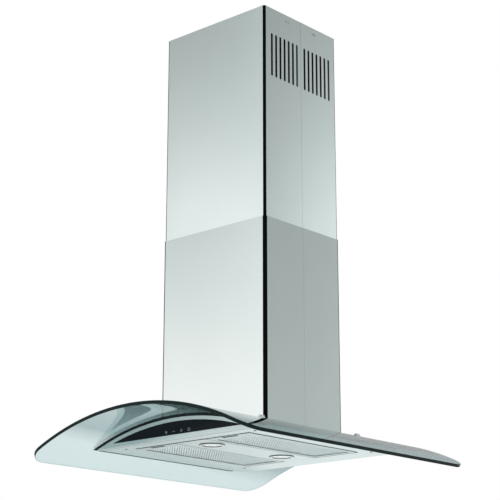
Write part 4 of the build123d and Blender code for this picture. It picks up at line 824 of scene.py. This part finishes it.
# -------- chimney covers
def cover_path(width, depth, bend, rear):
    """Path along the outside of a cover's front half, from its left seam round to its right one, or of its
    rear half; with it the ends of its straight runs and its whole length."""
    straight_x, straight_y = width / 2 - bend, depth / 2 - bend
    side, front, turn = straight_y - SEAM / 2, 2 * straight_x, bend * pi / 2
    limits = (side, side + turn, side + turn + front, side + 2 * turn + front)

    def at(u):
        if u <= limits[0]:
            place, angle = Vector((-width / 2, -SEAM / 2 - u, 0)), -pi / 2
        elif u <= limits[1]:
            angle = -pi / 2 + (u - limits[0]) / bend
            place = Vector((-straight_x, -straight_y, 0)) + bend * Vector((sin(angle), -cos(angle), 0))
        elif u <= limits[2]:
            place, angle = Vector((u - limits[1] - straight_x, -depth / 2, 0)), 0.0
        elif u <= limits[3]:
            angle = (u - limits[2]) / bend
            place = Vector((straight_x, -straight_y, 0)) + bend * Vector((sin(angle), -cos(angle), 0))
        else:
            place, angle = Vector((width / 2, u - limits[3] - straight_y, 0)), pi / 2
        outward = Vector((sin(angle), -cos(angle), 0))
        along = Vector((cos(angle), sin(angle), 0))
        if rear:
            place, outward, along = -place, -outward, -along
        return place, along, Vector((0, 0, 1)), outward

    return at, limits, limits[3] + side


def seam_path(side, face):
    """Straight path along the inside of a cover's flat side."""
    directions = Vector((0, side, 0)), Vector((0, 0, 1)), Vector((side, 0, 0))
    return lambda u: (Vector((face, side * u, 0)), *directions)


def slot_outline(u, v, length, width, upright):
    """Clockwise outline of a round-ended slot."""
    reach = (length - width) / 2
    points = arc(0, reach, width / 2, 0, 180, 8) + arc(0, -reach, width / 2, 180, 180, 8)
    if not upright:
        points = [Vector((p.y, -p.x)) for p in points]
    return [p + Vector((u, v)) for p in points][::-1]


def cover_foot(x):
    """Height of the lower cover's foot, which follows the glass."""
    return AXIS_Z + sqrt((GLASS_RADIUS + GLASS_SEAT) ** 2 - x ** 2)


def vent_slots(size, total):
    """Slots beside both seams of an upper half, with the hook slot over them."""
    outlines = []
    for mirror in (lambda u: u, lambda u: total - u):
        for index in range(SLOT_COUNT):
            y = size["depth"] / 2 - SLOT_MARGIN - index * SLOT_PITCH
            outlines.append(slot_outline(mirror(y - SEAM / 2), -SLOT_TOP - SLOT_LENGTH / 2,
                                         SLOT_LENGTH, SLOT_WIDTH, True))
        outlines.append(slot_outline(mirror(HOOK_OFFSET - SEAM / 2), -HOOK_TOP,
                                     HOOK_LENGTH, HOOK_HEIGHT, False))
    return outlines


def cover_half(size, rear):
    """Parts of half a cover stage; the rear halves carry the lap strips behind the seams."""
    path, limits, total = cover_path(size["width"], size["depth"], size["bend"], rear)
    turns = [start + (end - start) * k / BEND_STEPS
             for start, end in (limits[:2], limits[2:]) for k in range(BEND_STEPS + 1)]
    if size["foot"] is None:
        run = [limits[1] + (limits[2] - limits[1]) * k / FOOT_STEPS for k in range(1, FOOT_STEPS)]
        foot = [Vector((u, cover_foot(path(u)[0].x))) for u in sorted(set([0.0, total] + turns + run))]
    else:
        foot = [Vector((0, size["foot"])), Vector((total, size["foot"]))]
    outlines = [foot + [Vector((total, size["top"])), Vector((0, size["top"]))]]
    if size is UPPER:
        outlines += vent_slots(size, total)
    edge = rim(-COVER_SHEET, 0.0, COVER_ROUND, 2)
    bm = cut_sheet([(outline, edge) for outline in outlines])
    for vert in bm.verts:
        for limit in limits:
            if abs(vert.co.x - limit) < BEND_SNAP:
                vert.co.x = limit
    parts = [(cut_across(bm, turns), bent(path), LINED)]
    if rear:
        low = size["foot"] or cover_foot(size["width"] / 2)
        for side in (-1, 1):
            strip = cut_sheet([(rounded_rectangle(-LAP, LAP, low, size["lap_top"], LAP_CORNER, 4),
                                rim(-COVER_SHEET, -LAP_BEHIND, LAP_ROUND, 2))])
            parts.append((strip, bent(seam_path(side, side * (size["width"] / 2 - COVER_SHEET))), LINED))
    return parts


for stage, size, finish, body in (
        ("upper", UPPER, steel_upper, "frame"), ("lower", LOWER, steel_lower, "lower_cover")):
    for end in ("front", "rear"):
        piece(f"{stage}_{end}_sheet", cover_half(size, end == "rear"), [finish, inside],
              f"{stage}_cover_{end}", body)


# -------- studio
def stage_mesh(name, verts, faces, mat):
    mesh = bpy.data.meshes.new(name)
    mesh.from_pydata(verts, [], faces)
    mesh.materials.append(mat)
    obj = bpy.data.objects.new(name, mesh)
    bpy.context.scene.collection.objects.link(obj)
    return obj


def matt(name, grain, dark, light, roughness):
    """Surface without a sheen."""
    mat, look = material(name)
    colour = look.blended(look.noise((grain,) * 3), dark, light)
    look.feed(look.surface, {"Base Color": colour, "Roughness": roughness, "Specular IOR Level": 0.0})
    return mat, look


def floor_material():
    """Pale floor that the camera and reflections see nearly white."""
    mat, look = matt("pale_floor", 2.0, (0.90,) * 3, (0.93,) * 3, 0.9)
    surface = look.surface.outputs[0]
    lit = look.add("MixShader", {"Fac": FLOOR_GLOW, 1: surface, 2: look.add("Emission").outputs[0]})
    look.shown(look.rays("Camera", "Glossy"), surface, lit.outputs[0])
    return mat


FLOOR_Z, FLOOR_REACH, FLOOR_GLOW = -7.0, 90.0, 0.95
floor = rectangle(0, 2 * FLOOR_REACH, 0, 2 * FLOOR_REACH)
stage_mesh("floor", [(p.x, p.y, FLOOR_Z) for p in floor], [(0, 1, 2, 3)], floor_material())


def reflector_material():
    """Studio wall that only reflections see: tones by height all round, and others over some bearings."""
    mat, look = material("reflector")
    look.tree.nodes.remove(look.surface)
    place = look.add("SeparateXYZ", {0: look.add("NewGeometry").outputs["Position"]}).outputs
    bearing = look.math("ARCTAN2", place["X"], look.math("MULTIPLY", place["Y"], -1.0))

    def tones(stops):
        """Ramp over the wall's height."""
        rise = WALL_TOP - FLOOR_Z
        return look.ramp(look.ranged(place["Z"], FLOOR_Z, WALL_TOP),
                         [((z - FLOOR_Z) / rise, colour) for z, colour in stops])

    def between(low, high, soft):
        """1 inside the bearings low to high, in degrees."""
        return look.math("MULTIPLY", *[
            look.ranged(bearing, radians(edge - sign * soft / 2), radians(edge + sign * soft / 2))
            for edge, sign in ((low, 1), (high, -1))])

    colour = tones(WALL_ROUND)
    for stops, low, high, soft in WALL_ZONES:
        colour = look.layered(between(low, high, soft), colour, tones(stops))
    glow = look.add("Emission", {"Color": colour, "Strength": WALL_STRENGTH})
    look.tree.links.new(glow.outputs[0], look.tree.nodes["Material Output"].inputs["Surface"])
    return mat


def grey(value, tint=1.0):
    """Grey whose green and blue are a little stronger or weaker than its red."""
    return (value, value * tint, value * tint)


WALL_RADIUS, WALL_TOP, WALL_SEGMENTS, WALL_STRENGTH = 6.0, 7.0, 96, 1.55
DUSK = (0.20, 0.215, 0.215)
WALL_ROUND = [(-3, grey(0.63)), (1.0, grey(0.63)), (3.0, grey(0.48)), (7, grey(0.4))]
# each zone: its tones by height in metres, then its bearings and how softly it ends, in degrees
WALL_ZONES = [
    ([(-2.7, grey(0.64)), (-2.35, grey(0.42)), (-1.0, grey(0.42)), (0.3, grey(0.30)), (3.0, grey(0.30)),
      (7, grey(0.4))], -138, -112, 10),
    ([(-3, grey(0.64)), (-1.0, grey(0.64)), (0.3, grey(0.30)), (3.0, grey(0.30)), (7, grey(0.4))],
     -168, -138, 10),
    ([(-3, grey(0.93, 0.94)), (0.3, grey(0.93, 0.94)), (1.39, grey(0.885, 0.95)), (1.98, grey(0.53)),
      (2.51, grey(0.367)), (2.8, grey(0.315)), (7, grey(0.24))], -75, -34, 12),
    ([(-3, grey(0.89, 0.91)), (0.13, grey(0.89, 0.91)), (0.64, grey(0.687, 0.96)), (1.2, grey(0.52)),
      (1.8, grey(0.40)), (2.9, grey(0.30)), (7, grey(0.24))], -75, -46.5, 2.5),
    ([(-3, grey(0.80)), (1.28, grey(0.79)), (1.92, grey(0.51)), (2.7, grey(0.32)), (7, grey(0.24))],
     122, 165, 10),
    ([(-3, grey(0.84)), (1.28, grey(0.84)), (1.92, grey(0.60)), (2.7, grey(0.37)), (7, grey(0.24))],
     141, 165, 3),
    ([(-3, grey(0.405)), (0.14, grey(0.375)), (0.64, grey(0.34)), (1.2, grey(0.32)), (2.9, grey(0.29)),
      (7, grey(0.24))], 121, 138.2, 2.5),
    ([(-3, grey(0.80)), (4, grey(0.80))], -36, -24, 6),
    ([(-3, grey(0.65)), (-0.9, grey(0.65)), (-0.4, DUSK), (3.6, DUSK), (7, grey(0.32))], -22, 118, 5),
]

ring = circle(0, 0, WALL_RADIUS, WALL_SEGMENTS)
following = [(k, (k + 1) % WALL_SEGMENTS) for k in range(WALL_SEGMENTS)]
wall = stage_mesh("reflector_wall", [(p.x, p.y, z) for z in (FLOOR_Z + 0.001, WALL_TOP) for p in ring],
                  [(a, b, WALL_SEGMENTS + b, WALL_SEGMENTS + a) for a, b in following], reflector_material())
wall.visible_camera = False
wall.visible_diffuse = False
wall.visible_transmission = False
wall.visible_shadow = False
wall.visible_volume_scatter = False

WORLD_LIGHT = 0.55              # what the white surroundings give to matt faces
world = bpy.data.worlds.new("studio_world")
bpy.context.scene.world = world
world.use_nodes = True
sky = Look(world.node_tree)
sky.feed(world.node_tree.nodes["Background"], {
    "Color": (1, 1, 1, 1),
    "Strength": sky.math("MAXIMUM", sky.rays("Camera", "Glossy", "Transmission"), WORLD_LIGHT)})


def duct_painted_shade_material():
    """Painted shade over the duct's mouth: dark from below in place of the shade inside the duct, and clear
    from above.
    """
    mat, look = matt("duct_painted_shade", 40.0, (0.010,) * 3, (0.016,) * 3, 1.0)
    look.shown(look.from_behind(), look.surface.outputs[0], look.add("BsdfTransparent").outputs[0])
    return mat


DUCT_Y, DUCT_RADIUS, SHADE_Z = 0.020, 0.086, 0.0006
duct_rim = circle(0, DUCT_Y, DUCT_RADIUS, 48)[::-1]
stage_mesh("duct_painted_shade", [(p.x, p.y, SHADE_Z) for p in duct_rim], [tuple(range(len(duct_rim)))],
           duct_painted_shade_material())


def lamp(name, place, target, size, power):
    data = bpy.data.lights.new(name, "AREA")
    data.shape = "DISK"
    data.size = size
    data.energy = power
    obj = bpy.data.objects.new(name, data)
    obj.location = place
    obj.rotation_euler = (Vector(target) - Vector(place)).to_track_quat("-Z", "Y").to_euler()
    bpy.context.scene.collection.objects.link(obj)
    obj.visible_glossy = False
    obj.visible_transmission = False
    obj.visible_camera = False


lamp("key", (-3.2, -3.6, 1.6), (0, 0, -0.8), 2.6, 150.0)
lamp("fill", (3.8, -1.5, 0.6), (0, 0, -0.8), 2.6, 80.0)
lamp("low", (0.5, -2.2, -2.5), (0, 0, -1.0), 2.0, 42.0)

scene = bpy.context.scene
scene.view_settings.view_transform = "Standard"
camera = bpy.data.objects.new("camera", bpy.data.cameras.new("camera"))
scene.collection.objects.link(camera)
camera.data.lens = 108.45
camera.data.sensor_width = 36.0
camera.data.clip_end = 100.0
camera.location = (2.3982, -2.6963, -1.6168)
camera.rotation_euler = (radians(106.215), 0, radians(41.70))
scene.camera = camera

bpy.context.view_layer.update()
